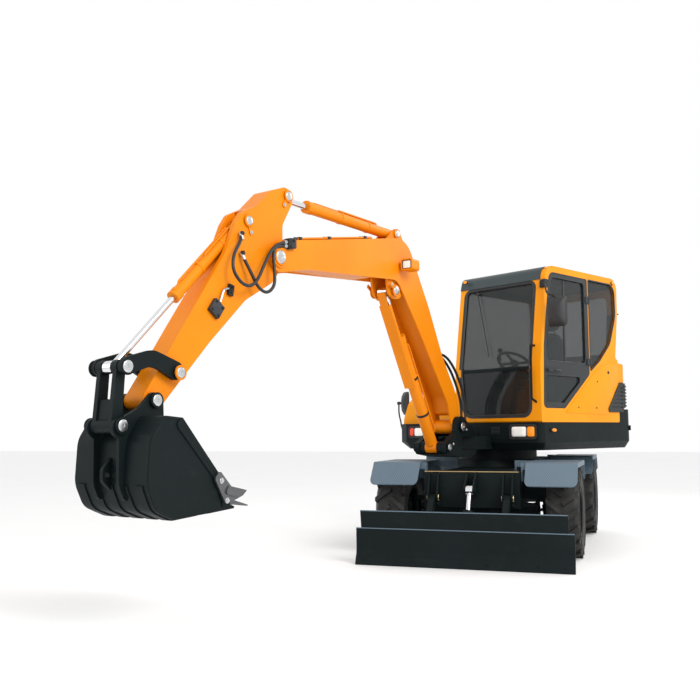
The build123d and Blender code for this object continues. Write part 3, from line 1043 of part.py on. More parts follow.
def build():
    """All nodes about the turntable's axis."""
    nodes = {}
    nodes["chassis"] = make_chassis()
    nodes["turntable"] = make_turntable()
    nodes["steps"] = make_steps()
    nodes["front_fenders"] = make_fenders(True)
    nodes["rear_fenders"] = make_fenders(False)
    nodes["front_axle"] = make_front_axle()
    nodes["rear_axle"] = make_rear_axle()
    nodes["steering_rod"] = make_steering_rod()
    nodes["knuckle_left"] = make_knuckle(1)
    nodes["knuckle_right"] = make_knuckle(-1)
    rim, tyre = make_rim(), make_tyre()
    for name, x, sign in (("front_left", FRONT_AXLE_X, 1), ("front_right", FRONT_AXLE_X, -1),
                          ("rear_left", REAR_AXLE_X, 1), ("rear_right", REAR_AXLE_X, -1)):
        spot = Pos(x, sign * WHEEL_Y, AXLE_Z)
        turn = Rot(0, 0, 0 if sign > 0 else 180)
        nodes["rim_" + name] = spot * turn * rim
        nodes["tyre_" + name] = spot * turn * tyre
    nodes["blade"] = make_blade()
    barrel, rod = ram("blade", BLADE_RAM_PIN, BLADE_ROD_PIN, 22)
    nodes["blade_barrel"] = Pos(0, BLADE_RAM_Y, 0) * barrel
    nodes["blade_rod"] = Pos(0, BLADE_RAM_Y, 0) * rod

    upper = {
        "deck": make_deck(), "counterweight": make_tail(), "cab": make_cab(), "cab_roof": make_roof(),
        "screen_bar": make_screen_bar(),
        "cab_glass": make_glass(), "door": make_door(), "door_glass": make_door_glass(), "seat": make_seat(),
        "console": make_console(), "steering_wheel": make_steering_wheel(), "bay_sides": make_bay_sides(),
        "hood": make_hood(), "hood_grille": make_hood_grille(), "engine": make_engine(),
        "right_cover": make_right_cover(),
        "side_vent": make_side_vent(), "handrails": make_handrails(), "mirrors": make_mirrors(),
        "lamps": make_lamps(),
    }
    bay = block((CAB_REAR - 230, BAY_FRONT), (-BAY_HALF, BAY_HALF), (BAY_FLOOR, 2000))
    upper["deck"] -= bay
    upper["counterweight"] -= bay
    for name, solid in upper.items():
        nodes[name] = place_upper(solid)

    gear = {"swing_post": make_post(), "boom": make_boom(), "boom_lamp": make_boom_lamp(), "arm": make_arm(),
            "side_links": make_side_links(), "bucket_link": make_bucket_link(), "bucket": make_bucket(),
            "bucket_teeth": make_bucket_teeth()}
    gear["boom_barrel"], gear["boom_rod"] = ram("boom", BOOM_RAM_BASE, BOOM_RAM_TIP, 30)
    gear["arm_barrel"], gear["arm_rod"] = ram("arm", ARM_RAM_BASE, ARM_RAM_TIP, 26)
    gear["bucket_barrel"], gear["bucket_rod"] = ram("bucket", BUCKET_RAM_BASE, LINK_PIN, 24)
    gear["ram_guard"] = make_ram_guard()
    for name, solid in gear.items():
        nodes[name] = place_gear(solid)
    return nodes


def main():
    nodes = build()
    boxes = [solid.bounding_box() for solid in nodes.values()]
    low = [min(getattr(box.min, axis) for box in boxes) for axis in "XYZ"]
    high = [max(getattr(box.max, axis) for box in boxes) for axis in "XYZ"]
    move = Pos(-(low[0] + high[0]) / 2, -(low[1] + high[1]) / 2, -low[2])
    os.makedirs("parts", exist_ok=True)
    for name, solid in nodes.items():
        export_step(move * solid, f"parts/{name}.step")
    print("origin moved by", [round(v, 3) for v in (move.position.X, move.position.Y, move.position.Z)])
    print("overall size", [round(b - a, 1) for a, b in zip(low, high)])


main()
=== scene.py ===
"""Looks of the wheeled excavator: finishes, small fittings, hoses, the seat and the studio."""
import json
import math

import bmesh
import bpy
from mathutils import Matrix, Vector


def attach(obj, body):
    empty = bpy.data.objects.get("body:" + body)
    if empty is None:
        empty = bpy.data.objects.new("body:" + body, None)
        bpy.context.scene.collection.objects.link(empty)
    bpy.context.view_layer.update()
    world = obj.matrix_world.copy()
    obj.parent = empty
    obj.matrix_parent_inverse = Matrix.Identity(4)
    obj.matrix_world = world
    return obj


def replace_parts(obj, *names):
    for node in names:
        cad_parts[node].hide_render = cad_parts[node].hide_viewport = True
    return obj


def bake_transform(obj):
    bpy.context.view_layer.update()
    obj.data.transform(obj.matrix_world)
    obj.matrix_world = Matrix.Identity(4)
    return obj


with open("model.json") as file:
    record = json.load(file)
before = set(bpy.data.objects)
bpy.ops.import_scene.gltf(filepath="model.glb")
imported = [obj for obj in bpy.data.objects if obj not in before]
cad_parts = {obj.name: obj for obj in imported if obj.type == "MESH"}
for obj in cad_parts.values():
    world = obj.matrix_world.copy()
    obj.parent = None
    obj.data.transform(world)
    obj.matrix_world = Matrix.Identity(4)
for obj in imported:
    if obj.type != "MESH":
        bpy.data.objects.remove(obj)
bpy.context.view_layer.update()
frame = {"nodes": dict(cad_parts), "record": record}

NODES = frame["nodes"]
JOINT_AT = {joint["name"]: Vector(joint["pos_m"]) for joint in frame["record"]["behaviour"]["joints"]
            if "pos_m" in joint}

# The camera: its place from the turntable's centre and its aim, as fitted to the photograph
CAMERA_FROM_TURNTABLE = Vector((9.468994, 1.588991, 1.194))
CAMERA_YAW = 3.476
CAMERA_PITCH = 0.094
CAMERA_ROLL = -0.007
FOCAL_PIXELS = 859.06
IMAGE_PIXELS = 700
SENSOR = 36.0

# The frames of the undercarriage, of the upper structure and of the working gear
UPPER_TURN = math.radians(-27.5)
BOOM_TURN = math.radians(11.4)
TURNTABLE = Vector((JOINT_AT["swing"].x, JOINT_AT["swing"].y, 0.0))
POST_FOOT = Vector((JOINT_AT["boom_swing"].x, JOINT_AT["boom_swing"].y, 0.0))
UNDER = Matrix.Translation(TURNTABLE)
UPPER = UNDER @ Matrix.Rotation(UPPER_TURN, 4, "Z")
GEAR = Matrix.Translation(POST_FOOT) @ Matrix.Rotation(UPPER_TURN + BOOM_TURN, 4, "Z")

# Faces of the solids that the fittings sit on
CAB_LEFT = 0.930
CAB_RIGHT = -0.150
CAB_FRONT = 0.510
CAB_FRONT_TOP = 0.368
CAB_REAR = -0.975
CAB_SILL = 1.815
CAB_TOP = 2.853
CAB_LEAN = (CAB_FRONT - CAB_FRONT_TOP) / (CAB_TOP - CAB_SILL)
CAB_FLOOR = 1.3133
SEAT_MIDDLE = 0.390
DECK_FRONT = 0.510
BOOM_TOP_START = (1.130, 2.972)
BOOM_TOP_SLOPE = 0.1918
BOOM_HALF = 0.120
ARM_HALF = 0.084
POST_HALF = 0.175
BLADE_FRONT = 2.030

SEATED = 0.002  # depth that a fitting sinks into the face under it
CAP_HEIGHT = 0.012
SMOOTH_ANGLE = math.radians(35)
SHARP_ANGLE = math.radians(40)
LEFT, UP = (0, 1, 0), Vector((0, 0, 1))


def screen_front(height):
    """Place of the cab's front face at a height."""
    return CAB_FRONT - max(0.0, height - CAB_SILL) * CAB_LEAN


def boom_top(ahead):
    """Height of the boom's top plate."""
    return BOOM_TOP_START[1] - BOOM_TOP_SLOPE * (ahead - BOOM_TOP_START[0])


# Materials

class Nodes:
    """A material's node tree with short calls to add nodes and links."""

    def __init__(self, name):
        self.material = bpy.data.materials.new(name)
        self.material.use_nodes = True
        self.tree = self.material.node_tree
        self.shader = self.tree.nodes["Principled BSDF"]
        self.place = self.add("ShaderNodeTexCoord").outputs["Object"]

    def add(self, kind, **settings):
        node = self.tree.nodes.new(kind)
        for key, value in settings.items():
            setattr(node, key, value)
        return node

    def link(self, output, target):
        self.tree.links.new(output, target)

    def mapped(self, scale, turn=0.0):
        mapping = self.add("ShaderNodeMapping")
        mapping.inputs["Scale"].default_value = scale
        mapping.inputs["Rotation"].default_value = (0.0, 0.0, turn)
        self.link(self.place, mapping.inputs["Vector"])
        return mapping.outputs["Vector"]

    def noise(self, scale, detail=4.0, rough=0.55, stretch=None):
        node = self.add("ShaderNodeTexNoise")
        node.inputs["Scale"].default_value = scale
        node.inputs["Detail"].default_value = detail
        node.inputs["Roughness"].default_value = rough
        self.link(self.mapped(stretch) if stretch else self.place, node.inputs["Vector"])
        return node.outputs["Fac"]

    def ramp(self, value, *stops):
        """Grey that follows (place, level) stops."""
        node = self.add("ShaderNodeValToRGB")
        for point, (place, level) in zip(node.color_ramp.elements, stops):
            point.position = place
            point.color = (level, level, level, 1.0)
        self.link(value, node.inputs["Fac"])
        return node.outputs["Color"]

    def mix(self, factor, first, second):
        node = self.add("ShaderNodeMix", data_type="RGBA")
        sockets = (node.inputs["Factor"], node.inputs["A"], node.inputs["B"])
        for socket, value in zip(sockets, (factor, first, second)):
            if isinstance(value, (int, float)):
                socket.default_value = value
            elif isinstance(value, tuple):
                socket.default_value = (*value, 1.0)
            else:
                self.link(value, socket)
        return node.outputs["Result"]

    def spread(self, value, low, high):
        node = self.add("ShaderNodeMapRange")
        node.inputs["To Min"].default_value = low
        node.inputs["To Max"].default_value = high
        self.link(value, node.inputs["Value"])
        return node.outputs["Result"]

    def color(self, output):
        self.link(output, self.shader.inputs["Base Color"])

    def rough(self, output):
        self.link(output, self.shader.inputs["Roughness"])

    def set(self, **sockets):
        for name, value in sockets.items():
            self.shader.inputs[name.replace("_", " ")].default_value = value

    def bump(self, height, strength, distance):
        node = self.add("ShaderNodeBump")
        node.inputs["Strength"].default_value = strength
        node.inputs["Distance"].default_value = distance
        self.link(height, node.inputs["Height"])
        self.link(node.outputs["Normal"], self.shader.inputs["Normal"])


def toned(color, share, more=0.0):
    """A color made lighter or darker."""
    return tuple(c * share + more for c in color)


def paint(name, color, shade, rough, dust=(0.30, 0.26, 0.20), dust_amount=0.08, coat=0.0, gloss=0.5):
    """Sprayed paint: slow change of tone, a little dust in patches, faint orange peel."""
    n = Nodes(name)
    tone = n.mix(n.ramp(n.noise(1.7, 3.0), (0.35, 0.0), (0.65, 1.0)), color, shade)
    dirt = n.ramp(n.noise(6.0, 8.0, 0.7), (0.56, 0.0), (0.80, dust_amount))
    n.color(n.mix(dirt, tone, dust))
    n.rough(n.spread(n.noise(14.0, 5.0), rough - 0.07, rough + 0.09))
    n.bump(n.noise(420.0, 2.0), 0.05, 0.001)
    n.set(Coat_Weight=coat, Coat_Roughness=0.12, Specular_IOR_Level=gloss)
    return n.material


def tread_plate(name, color, shade):
    """Worn painted plate with a fine lattice of raised bars, set aslant in turn."""
    n = Nodes(name)
    bars = []
    for turn in (45, -45):
        wave = n.add("ShaderNodeTexWave", wave_type="BANDS", bands_direction="X")
        wave.inputs["Scale"].default_value = 22.0
        n.link(n.mapped((1.0, 1.0, 1.0), math.radians(turn)), wave.inputs["Vector"])
        bars.append(n.ramp(wave.outputs["Fac"], (0.55, 0.0), (0.80, 1.0)))
    lattice = n.mix(0.5, *bars)
    worn = n.ramp(n.noise(5.0, 8.0, 0.7), (0.45, 0.0), (0.75, 0.4))
    n.color(n.mix(lattice, n.mix(worn, color, shade), toned(color, 1.5, 0.02)))
    n.rough(n.spread(n.noise(14.0, 5.0), 0.40, 0.58))
    n.bump(lattice, 0.5, 0.003)
    return n.material


def metal(name, color, rough, streak=None):
    """Bare metal with fine marks, drawn out along one direction where streak is given."""
    n = Nodes(name)
    marks = n.noise(60.0, 6.0, 0.6, streak)
    n.color(n.mix(n.ramp(marks, (0.3, 0.0), (0.7, 1.0)), color, toned(color, 0.82)))
    n.rough(n.spread(marks, rough - 0.06, rough + 0.10))
    n.bump(marks, 0.05, 0.0005)
    n.set(Metallic=1.0)
    return n.material


def plastic(name, color, rough, grain=900.0, strength=0.15, glow=0.0):
    """Moulded plastic with a fine grain; a lens also gives back a little light."""
    n = Nodes(name)
    n.color(n.mix(n.ramp(n.noise(5.0, 6.0), (0.4, 0.0), (0.7, 1.0)), color, toned(color, 1.2, 0.003)))
    n.rough(n.spread(n.noise(20.0), rough - 0.05, rough + 0.08))
    n.bump(n.noise(grain, 2.0), strength, 0.0008)
    if glow:
        n.set(Emission_Color=(*color, 1.0), Emission_Strength=glow)
    return n.material


def rubber(name, color, rough, dust_amount=0.35):
    """Black rubber, dusty in patches."""
    n = Nodes(name)
    dust = n.ramp(n.noise(9.0, 8.0, 0.7), (0.45, 0.0), (0.8, dust_amount))
    n.color(n.mix(dust, color, (0.10, 0.095, 0.085)))
    n.rough(n.spread(n.noise(30.0), rough - 0.06, rough + 0.08))
    n.bump(n.noise(260.0, 4.0), 0.12, 0.0015)
    return n.material


def glass(name, color, alpha):
    """Tinted pane that shows what is behind it."""
    n = Nodes(name)
    n.color(n.mix(n.ramp(n.noise(3.0, 5.0), (0.4, 0.0), (0.8, 1.0)), color, toned(color, 1.2)))
    n.rough(n.spread(n.noise(4.0, 3.0), 0.02, 0.06))
    n.set(Alpha=alpha, IOR=1.5)
    return n.material


def cloth(name, color):
    """Woven cloth with a diagonal thread."""
    n = Nodes(name)
    weave = n.add("ShaderNodeTexWave", wave_type="BANDS", bands_direction="DIAGONAL")
    weave.inputs["Scale"].default_value = 220.0
    weave.inputs["Distortion"].default_value = 1.0
    n.link(n.place, weave.inputs["Vector"])
    n.color(n.mix(n.ramp(n.noise(40.0), (0.35, 0.0), (0.7, 1.0)), color, toned(color, 1.6, 0.01)))
    n.rough(n.spread(n.noise(50.0), 0.85, 0.97))
    n.bump(weave.outputs["Fac"], 0.4, 0.001)
    n.set(Sheen_Weight=0.3)
    return n.material


AMBER = paint("amber_paint", (0.76, 0.225, 0.002), (0.71, 0.198, 0.001), 0.38,
              dust_amount=0.03, coat=0.04, gloss=0.15)
CAB_AMBER = paint("cab_paint", (0.84, 0.300, 0.002), (0.80, 0.272, 0.001), 0.36,
                  dust_amount=0.02, coat=0.06, gloss=0.15)
CHARCOAL = paint("charcoal_paint", (0.0055, 0.0100, 0.0108), (0.0040, 0.0078, 0.0085), 0.48,
                 dust=(0.03, 0.036, 0.036), dust_amount=0.25, gloss=0.12)
ROOF_GREY = paint("roof_paint", (0.040, 0.055, 0.059), (0.034, 0.048, 0.051), 0.34,
                  dust_amount=0.03, gloss=0.35)
DOOR_GREY = paint("door_paint", (0.030, 0.034, 0.038), (0.024, 0.028, 0.031), 0.45,
                  dust_amount=0.03, gloss=0.3)
BLACK_STEEL = paint("black_fitting", (0.010, 0.011, 0.012), (0.014, 0.015, 0.016), 0.4,
                    dust_amount=0.05, gloss=0.3)
BLUE_GREY = tread_plate("tread_plate_paint", (0.070, 0.110, 0.145), (0.048, 0.076, 0.100))
CHROME = metal("ground_chrome", (0.82, 0.83, 0.85), 0.12, (1.0, 1.0, 12.0))
SILVER = metal("pin_steel", (0.62, 0.63, 0.64), 0.30)
BRASS = metal("passivated_steel", (0.75, 0.58, 0.30), 0.35)
WORN_STEEL = metal("worn_steel", (0.16, 0.165, 0.17), 0.45)
CAST = metal("cast_iron", (0.20, 0.20, 0.21), 0.6)
BLACK_PLASTIC = plastic("black_plastic", (0.012, 0.013, 0.014), 0.5)
TYRE_RUBBER = rubber("tyre_rubber", (0.0125, 0.0125, 0.0125), 0.72)
HOSE_RUBBER = rubber("hose_rubber", (0.010, 0.010, 0.010), 0.45, 0.08)
GLASS = glass("cab_pane", (0.020, 0.026, 0.027), 0.50)
SEAT_CLOTH = cloth("seat_cloth", (0.014, 0.014, 0.016))
CLEAR_LENS = plastic("clear_lens", (0.80, 0.80, 0.76), 0.15, 300.0, 0.4, 0.15)
AMBER_LENS = plastic("amber_lens", (0.90, 0.26, 0.01), 0.15, 300.0, 0.3, 0.25)
RED_LENS = plastic("red_lens", (0.75, 0.05, 0.02), 0.15, 300.0, 0.3, 0.15)
MIRROR_GLASS = metal("mirror_face", (0.75, 0.78, 0.80), 0.05)

NODE_FINISH = {
    AMBER: ["boom", "arm", "boom_barrel", "arm_barrel", "bucket_barrel", "boom_lamp", "ram_guard"],
    CAB_AMBER: ["cab", "hood", "bay_sides", "right_cover"],
    CHARCOAL: ["chassis", "turntable", "steps", "front_axle", "rear_axle", "knuckle_left", "knuckle_right",
               "blade", "blade_barrel", "deck", "counterweight", "swing_post", "side_links", "bucket_link",
               "bucket", "screen_bar", "handrails", "rim_front_left", "rim_front_right", "rim_rear_left",
               "rim_rear_right"],
    ROOF_GREY: ["cab_roof"],
    BLUE_GREY: ["front_fenders", "rear_fenders"],
    DOOR_GREY: ["door"],
    CHROME: ["boom_rod", "arm_rod", "bucket_rod", "blade_rod", "steering_rod"],
    WORN_STEEL: ["bucket_teeth"],
    CAST: ["engine"],
    BLACK_PLASTIC: ["console", "steering_wheel", "side_vent", "hood_grille", "mirrors"],
    TYRE_RUBBER: ["tyre_front_left", "tyre_front_right", "tyre_rear_left", "tyre_rear_right"],
    GLASS: ["cab_glass", "door_glass"],
    SEAT_CLOTH: ["seat"],
    CLEAR_LENS: ["lamps"],
}
# Painted shade: the cab's faces deeper than this inside its outside are coloured black for the shade inside
# the cab
INSIDE_SHADE_DEPTH = 0.030


def finish_nodes():
    """Gives each solid its material."""
    for material, names in NODE_FINISH.items():
        for name in names:
            materials = NODES[name].data.materials
            materials.clear()
            materials.append(material)


def paint_cab_inside_shade():
    """Painted shade: black plastic on the cab's inner faces, those deeper than the set depth inside its
    outside, stands in for the shade inside the cab.
    """
    bpy.context.view_layer.update()
    cab = NODES["cab"]
    # Painted shade: black plastic for the shade inside the cab
    cab.data.materials.append(BLACK_PLASTIC)
    place = UPPER.inverted() @ cab.matrix_world
    for face in cab.data.polygons:
        spot = place @ face.center
        if (CAB_REAR + INSIDE_SHADE_DEPTH < spot.x < screen_front(spot.z) - INSIDE_SHADE_DEPTH
                and CAB_RIGHT + INSIDE_SHADE_DEPTH < spot.y < CAB_LEFT - INSIDE_SHADE_DEPTH
                and spot.z < CAB_TOP - INSIDE_SHADE_DEPTH):
            face.material_index = 1


# Shapes

def rounded(rows, parts=6):
    """Outline through (a, b, corner radius) rows, its corners as arcs of a few parts."""
    points = []
    for i, (a, b, radius) in enumerate(rows):
        here = Vector((a, b))
        if not radius:
            points.append(here)
            continue
        back = Vector(rows[i - 1][:2]) - here
        ahead = Vector(rows[(i + 1) % len(rows)][:2]) - here
        half = back.angle(ahead) / 2
        reach = min(radius / math.tan(half), 0.49 * back.length, 0.49 * ahead.length)
        radius = reach * math.tan(half)
        back.normalize()
        ahead.normalize()
        centre = here + (back + ahead).normalized() * radius / math.sin(half)
        first, last = here + back * reach - centre, here + ahead * reach - centre
        sweep = first.angle_signed(last)
        points += [centre + Matrix.Rotation(-sweep * k / parts, 2) @ first for k in range(parts + 1)]
    return points


def rectangle(low, high, bottom, top, radius=0.0, parts=6):
    """Outline of a rectangle with rounded corners."""
    return rounded([(low, bottom, radius), (high, bottom, radius), (high, top, radius), (low, top, radius)],
                   parts)


def circle(count, first=0.0):
    """Cosine and sine of evenly spaced angles round a circle."""
    angles = [first + 2 * math.pi * k / count for k in range(count)]
    return [(math.cos(angle), math.sin(angle)) for angle in angles]


def scaled(points, middle, size):
    """Points drawn in to a middle."""
    return [middle + (point - middle) * size for point in points]


def upright(outline, across):
    """Outline of (ahead, height) points stood up at a place across."""
    return [(a, across, b) for a, b in outline]


def facing(outline, ahead):
    """Outline of (across, height) points stood up at a place ahead."""
    return [(ahead, a, b) for a, b in outline]


def route(points):
    """Points of the smooth line that takes a list of points as its control points."""
    data = bpy.data.curves.new("route", "CURVE")
    data.dimensions = "3D"
    data.resolution_u = 8
    spline = data.splines.new("NURBS")
    spline.points.add(len(points) - 1)
    for target, point in zip(spline.points, points):
        target.co = (*point, 1.0)
    spline.order_u = 3
    spline.use_endpoint_u = True
    holder = bpy.data.objects.new("route", data)
    mesh = bpy.data.meshes.new_from_object(holder)
    line = [vertex.co.copy() for vertex in mesh.vertices]
    bpy.data.objects.remove(holder)
    bpy.data.curves.remove(data)
    bpy.data.meshes.remove(mesh)
    return line


def linked(name, data):
    """New object in the scene for a mesh, a camera or a light."""
    piece = bpy.data.objects.new(name, data)
    bpy.context.scene.collection.objects.link(piece)
    return piece


class Form:
    """A mesh under construction, in the metres of one of the frames."""

    def __init__(self, place):
        self.mesh = bmesh.new()
        self.place = place

    def strip(self, rings, closed=False):
        """Skin over rings of points, its ends filled; closed joins the last ring to the first instead."""
        rows = [[self.mesh.verts.new(self.place @ Vector(point)) for point in ring] for ring in rings]
        pairs = list(zip(rows, rows[1:])) + ([(rows[-1], rows[0])] if closed else [])
        for low, high in pairs:
            for i in range(len(low)):
                j = (i + 1) % len(low)
                self.mesh.faces.new((low[i], low[j], high[j], high[i]))
        if not closed:
            self.mesh.faces.new(rows[0][::-1])
            self.mesh.faces.new(rows[-1])

    def prism(self, outline, low, high, stand=upright):
        """Outline drawn out between two levels; stand puts it on a level."""
        self.strip([stand(outline, level) for level in (low, high)])

    def lathe(self, rows, middle, axis, sides=24, closed=False):
        """Turned shape: rows of (place along the axis, radius); closed makes a ring with an open middle."""
        turn = UP.rotation_difference(Vector(axis).normalized()).to_matrix()
        self.strip([[Vector(middle) + turn @ Vector((radius * cos, radius * sin, along))
                     for cos, sin in circle(sides)] for along, radius in rows], closed)

    def bolt(self, middle, axis, size):
        """Washer and hexagon head, seated on a face."""
        self.lathe([(-0.001, 1.35 * size), (0.18 * size, 1.35 * size), (0.22 * size, 1.25 * size),
                    (0.22 * size, 0.5 * size)], middle, axis, 16)
        self.lathe([(0.2 * size, 0.95 * size), (0.75 * size, 0.95 * size), (0.9 * size, 0.8 * size)],
                   middle, axis, 6)

    def cap(self, middle, axis, radius):
        """Pin's end with a rounded edge and a dimple."""
        height = CAP_HEIGHT
        self.lathe([(-0.003, radius), (0.6 * height, radius), (0.85 * height, 0.95 * radius),
                    (height, 0.85 * radius), (height, 0.26 * radius), (0.75 * height, 0.2 * radius),
                    (0.75 * height, 0.03 * radius)], middle, axis, 28)

    def tube(self, points, radius, sides=10, closed=False):
        """Round bar along points, its ring carried on without a twist."""
        points = [Vector(point) for point in points]
        count = len(points)
        rings = []
        side = None
        for i, point in enumerate(points):
            ahead = points[(i + 1) % count] if closed or i + 1 < count else point
            behind = points[i - 1] if closed or i else point
            tangent = (ahead - behind).normalized()
            if side is None:
                side = tangent.orthogonal().normalized()
            side = (side - tangent * side.dot(tangent)).normalized()
            other = tangent.cross(side)
            rings.append([point + radius * (cos * side + sin * other) for cos, sin in circle(sides)])
        self.strip(rings, closed)

    def finish(self, name, material, body, slot, bevel=0.0, ride=True):
        """Closes the mesh, makes it a piece with its finish, and lets it ride on its body."""
        bmesh.ops.recalc_face_normals(self.mesh, faces=self.mesh.faces)
        if bevel:
            sharp = [edge for edge in self.mesh.edges
                     if len(edge.link_faces) == 2 and edge.calc_face_angle() > SHARP_ANGLE]
            bmesh.ops.bevel(self.mesh, geom=sharp, offset=bevel, segments=2, affect="EDGES", profile=0.6,
                            clamp_overlap=True)
        data = bpy.data.meshes.new(name)
        self.mesh.to_mesh(data)
        self.mesh.free()
        data.shade_smooth()
        data.set_sharp_from_angle(angle=SMOOTH_ANGLE)
        data.materials.append(material)
        piece = linked(name, data)
        if ride:
            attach(piece, body)
        return piece


# Working gear

# Pins: body, place ahead, height, half width over the pin, half width of the plate beside it, radius,
# angle of the keeper
PINS = [
    ("post", 0.221, 1.230, 0.190, POST_HALF, 0.044, 200),
    ("post", 0.490, 1.030, 0.185, POST_HALF, 0.036, 160),
    ("main_boom", 1.320, 2.455, 0.120, BOOM_HALF, 0.040, 30),
    ("main_boom", 2.954, 2.494, 0.132, 0.132, 0.052, None),
    ("main_boom", 1.222, 2.999, 0.076, 0.076, 0.034, None),
    ("dipper", 2.815, 2.997, 0.094, ARM_HALF, 0.036, 300),
    ("dipper", 3.265, 2.716, 0.094, ARM_HALF, 0.034, 250),
    ("dipper", 3.974, 1.574, 0.152, 0.152, 0.036, None), ("links", 4.401, 1.590, 0.146, 0.146, 0.040, None),
    ("shovel", 4.162, 1.392, 0.144, 0.144, 0.038, None), ("shovel", 4.429, 1.235, 0.144, 0.144, 0.038, None),
]
RING_WIDTH = 0.012
RING_HEIGHT = 0.009
RING_EDGE = 0.002
RING_PLAY = 0.001
KEEPER_LENGTH = 0.070
KEEPER_HALF = 0.016
KEEPER_THICK = 0.009
KEEPER_BOLT_INSET = 0.018


def make_pins():
    """Silver ends of every pin with rings round them, and keepers bolted beside those on flat plates."""
    for number, (body, ahead, height, end, plate, radius, angle) in enumerate(PINS):
        caps, dark = Form(GEAR), Form(GEAR)
        for side in (-1, 1):
            out = (0, side, 0)
            caps.cap((ahead, side * end, height), out, radius)
            ring, hole = radius + RING_WIDTH, radius + RING_PLAY
            dark.lathe([(-SEATED, ring), (RING_HEIGHT - RING_EDGE, ring), (RING_HEIGHT, ring - RING_EDGE),
                        (RING_HEIGHT, hole), (-SEATED, hole)], (ahead, side * end, height), out, 28,
                       closed=True)
            if angle is None:
                continue
            along = Vector((math.cos(math.radians(angle)), 0, math.sin(math.radians(angle))))
            across = Vector((-along.z, 0, along.x)) * KEEPER_HALF
            start = Vector((ahead, 0, height)) + along * radius * 0.9
            stop = Vector((ahead, 0, height)) + along * (radius + KEEPER_LENGTH)
            corners = [start + across, stop + across, stop - across, start - across]
            low, high = sorted((side * (plate - 0.001), side * (plate + KEEPER_THICK)))
            dark.prism([(c.x, c.z) for c in corners], low, high)
            face = Vector((0, side * (plate + KEEPER_THICK), 0))
            caps.bolt(stop - along * KEEPER_BOLT_INSET + face, out, 0.011)
        caps.finish("pin_%d" % number, SILVER, body, "steel")
        if body in ("main_boom", "dipper"):
            dark.finish("pin_seat_%d" % number, AMBER, body, "gear_paint")
        else:
            dark.finish("pin_seat_%d" % number, CHARCOAL, body, "dark_paint")


PIPE_SIDES = (0.030, 0.062, 0.094)
PIPE_RADIUS = 0.009
# A pipe's run: place along the boom, and height over the top plate there
PIPE_RUN = ((1.66, -0.012), (1.68, 0.014), (2.0, 0.014), (2.4, 0.014), (2.60, 0.014), (2.70, 0.012))
PIPE_CLAMPS = (1.78, 2.30, 2.68)
CLAMP_HALF = 0.018
CLAMP_HEIGHT = 0.028
CLAMP_DROP = 0.004
CLAMP_MARGIN = 0.016


def make_boom_pipes():
    """Pipes along the boom's top plate, and their clamps."""
    pipes, clamps = Form(GEAR), Form(GEAR)
    for side in (-1, 1):
        for w in PIPE_SIDES:
            pipes.tube([(ahead, side * w, boom_top(ahead) + over) for ahead, over in PIPE_RUN], PIPE_RADIUS)
        low, high = sorted((side * (PIPE_SIDES[0] - CLAMP_MARGIN), side * (PIPE_SIDES[-1] + CLAMP_MARGIN)))
        for ahead in PIPE_CLAMPS:
            top = boom_top(ahead)
            near, far = ahead - CLAMP_HALF, ahead + CLAMP_HALF
            clamps.prism([(near, top), (far, top - CLAMP_DROP), (far, top + CLAMP_HEIGHT - CLAMP_DROP),
                          (near, top + CLAMP_HEIGHT)], low, high)
            clamps.bolt((ahead, side * 0.046, top + 0.026), (0.19, 0, 1), 0.008)
    pipes.finish("boom_pipes", AMBER, "main_boom", "gear_paint")
    clamps.finish("boom_pipe_clamps", BLACK_STEEL, "main_boom", "dark_paint", bevel=0.002)


# Free hoses from the arm to the boom's nose: the points of each, (ahead, across, height)
NOSE_HOSES = [
    [(3.36, 0.104, 2.602), (3.362, 0.118, 2.562), (3.484, 0.15, 2.43), (3.515, 0.17, 2.31),
     (3.438, 0.18, 2.225), (3.343, 0.18, 2.211), (3.251, 0.17, 2.274), (3.158, 0.16, 2.424),
     (3.047, 0.142, 2.558), (2.93, 0.132, 2.609), (2.875, 0.128, 2.622)],
    [(3.352, 0.104, 2.462), (3.342, 0.118, 2.421), (3.299, 0.14, 2.337), (3.24, 0.16, 2.222),
     (3.151, 0.17, 2.187), (3.065, 0.17, 2.255), (3.054, 0.16, 2.36), (3.059, 0.15, 2.475),
     (3.03, 0.14, 2.561), (2.93, 0.132, 2.582), (2.875, 0.128, 2.590)],
]
NOSE_HOSE_RADIUS = 0.012
NOSE_BLOCK = [(2.785, 2.585, 0.01), (2.880, 2.565, 0.01), (2.880, 2.650, 0.01), (2.785, 2.668, 0.01)]
NOSE_BLOCK_FACE = BOOM_HALF + 0.030
# Hoses behind the boom's foot, from the post to the boom's back plate: (ahead, height)
FOOT_ROUTE = [(-0.02, 1.180), (-0.06, 1.270), (-0.075, 1.400), (-0.035, 1.545), (0.060, 1.690),
              (0.170, 1.815), (0.300, 1.905), (0.420, 1.940), (0.505, 1.935)]
FOOT_HOSE_SIDES = (-0.066, -0.022, 0.022, 0.066)
FOOT_HOSE_FAN = 0.35  # share by which the hoses spread with each metre over FOOT_FAN_FROM
FOOT_FAN_FROM = 1.2
FOOT_HOSE_RADIUS = 0.013
# Turned steel ends: rows of (place along the hose, radius)
HOSE_PORT = [(-0.022, 0.017), (0.0, 0.017), (0.0, 0.010)]
ARM_HOSE_END = [(-0.006, 0.0165), (0.020, 0.0165), (0.022, 0.0145), (0.052, 0.0145), (0.052, 0.012)]
NOSE_HOSE_END = [(-0.004, 0.0165), (0.016, 0.0165), (0.018, 0.0145), (0.042, 0.0145), (0.042, 0.012)]
FOOT_HOSE_END = [(-0.01, 0.018), (0.014, 0.018), (0.016, 0.0155), (0.045, 0.0155), (0.045, 0.013)]


def make_hose(name, points, radius, bodies):
    """One hydraulic hose drawn between two bodies; it is fixed where it is drawn and rides on neither."""
    line = [GEAR @ point for point in route(points)]
    form = Form(Matrix.Identity(4))
    form.tube(line, radius, 12)
    hose = form.finish(name, HOSE_RUBBER, bodies[0], "tyre", ride=False)
    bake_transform(hose)


def hose_end(form, rows, point, beyond, sides):
    """Steel end that a hose comes out of towards the point beyond."""
    form.lathe(rows, point, Vector(beyond) - Vector(point), sides)


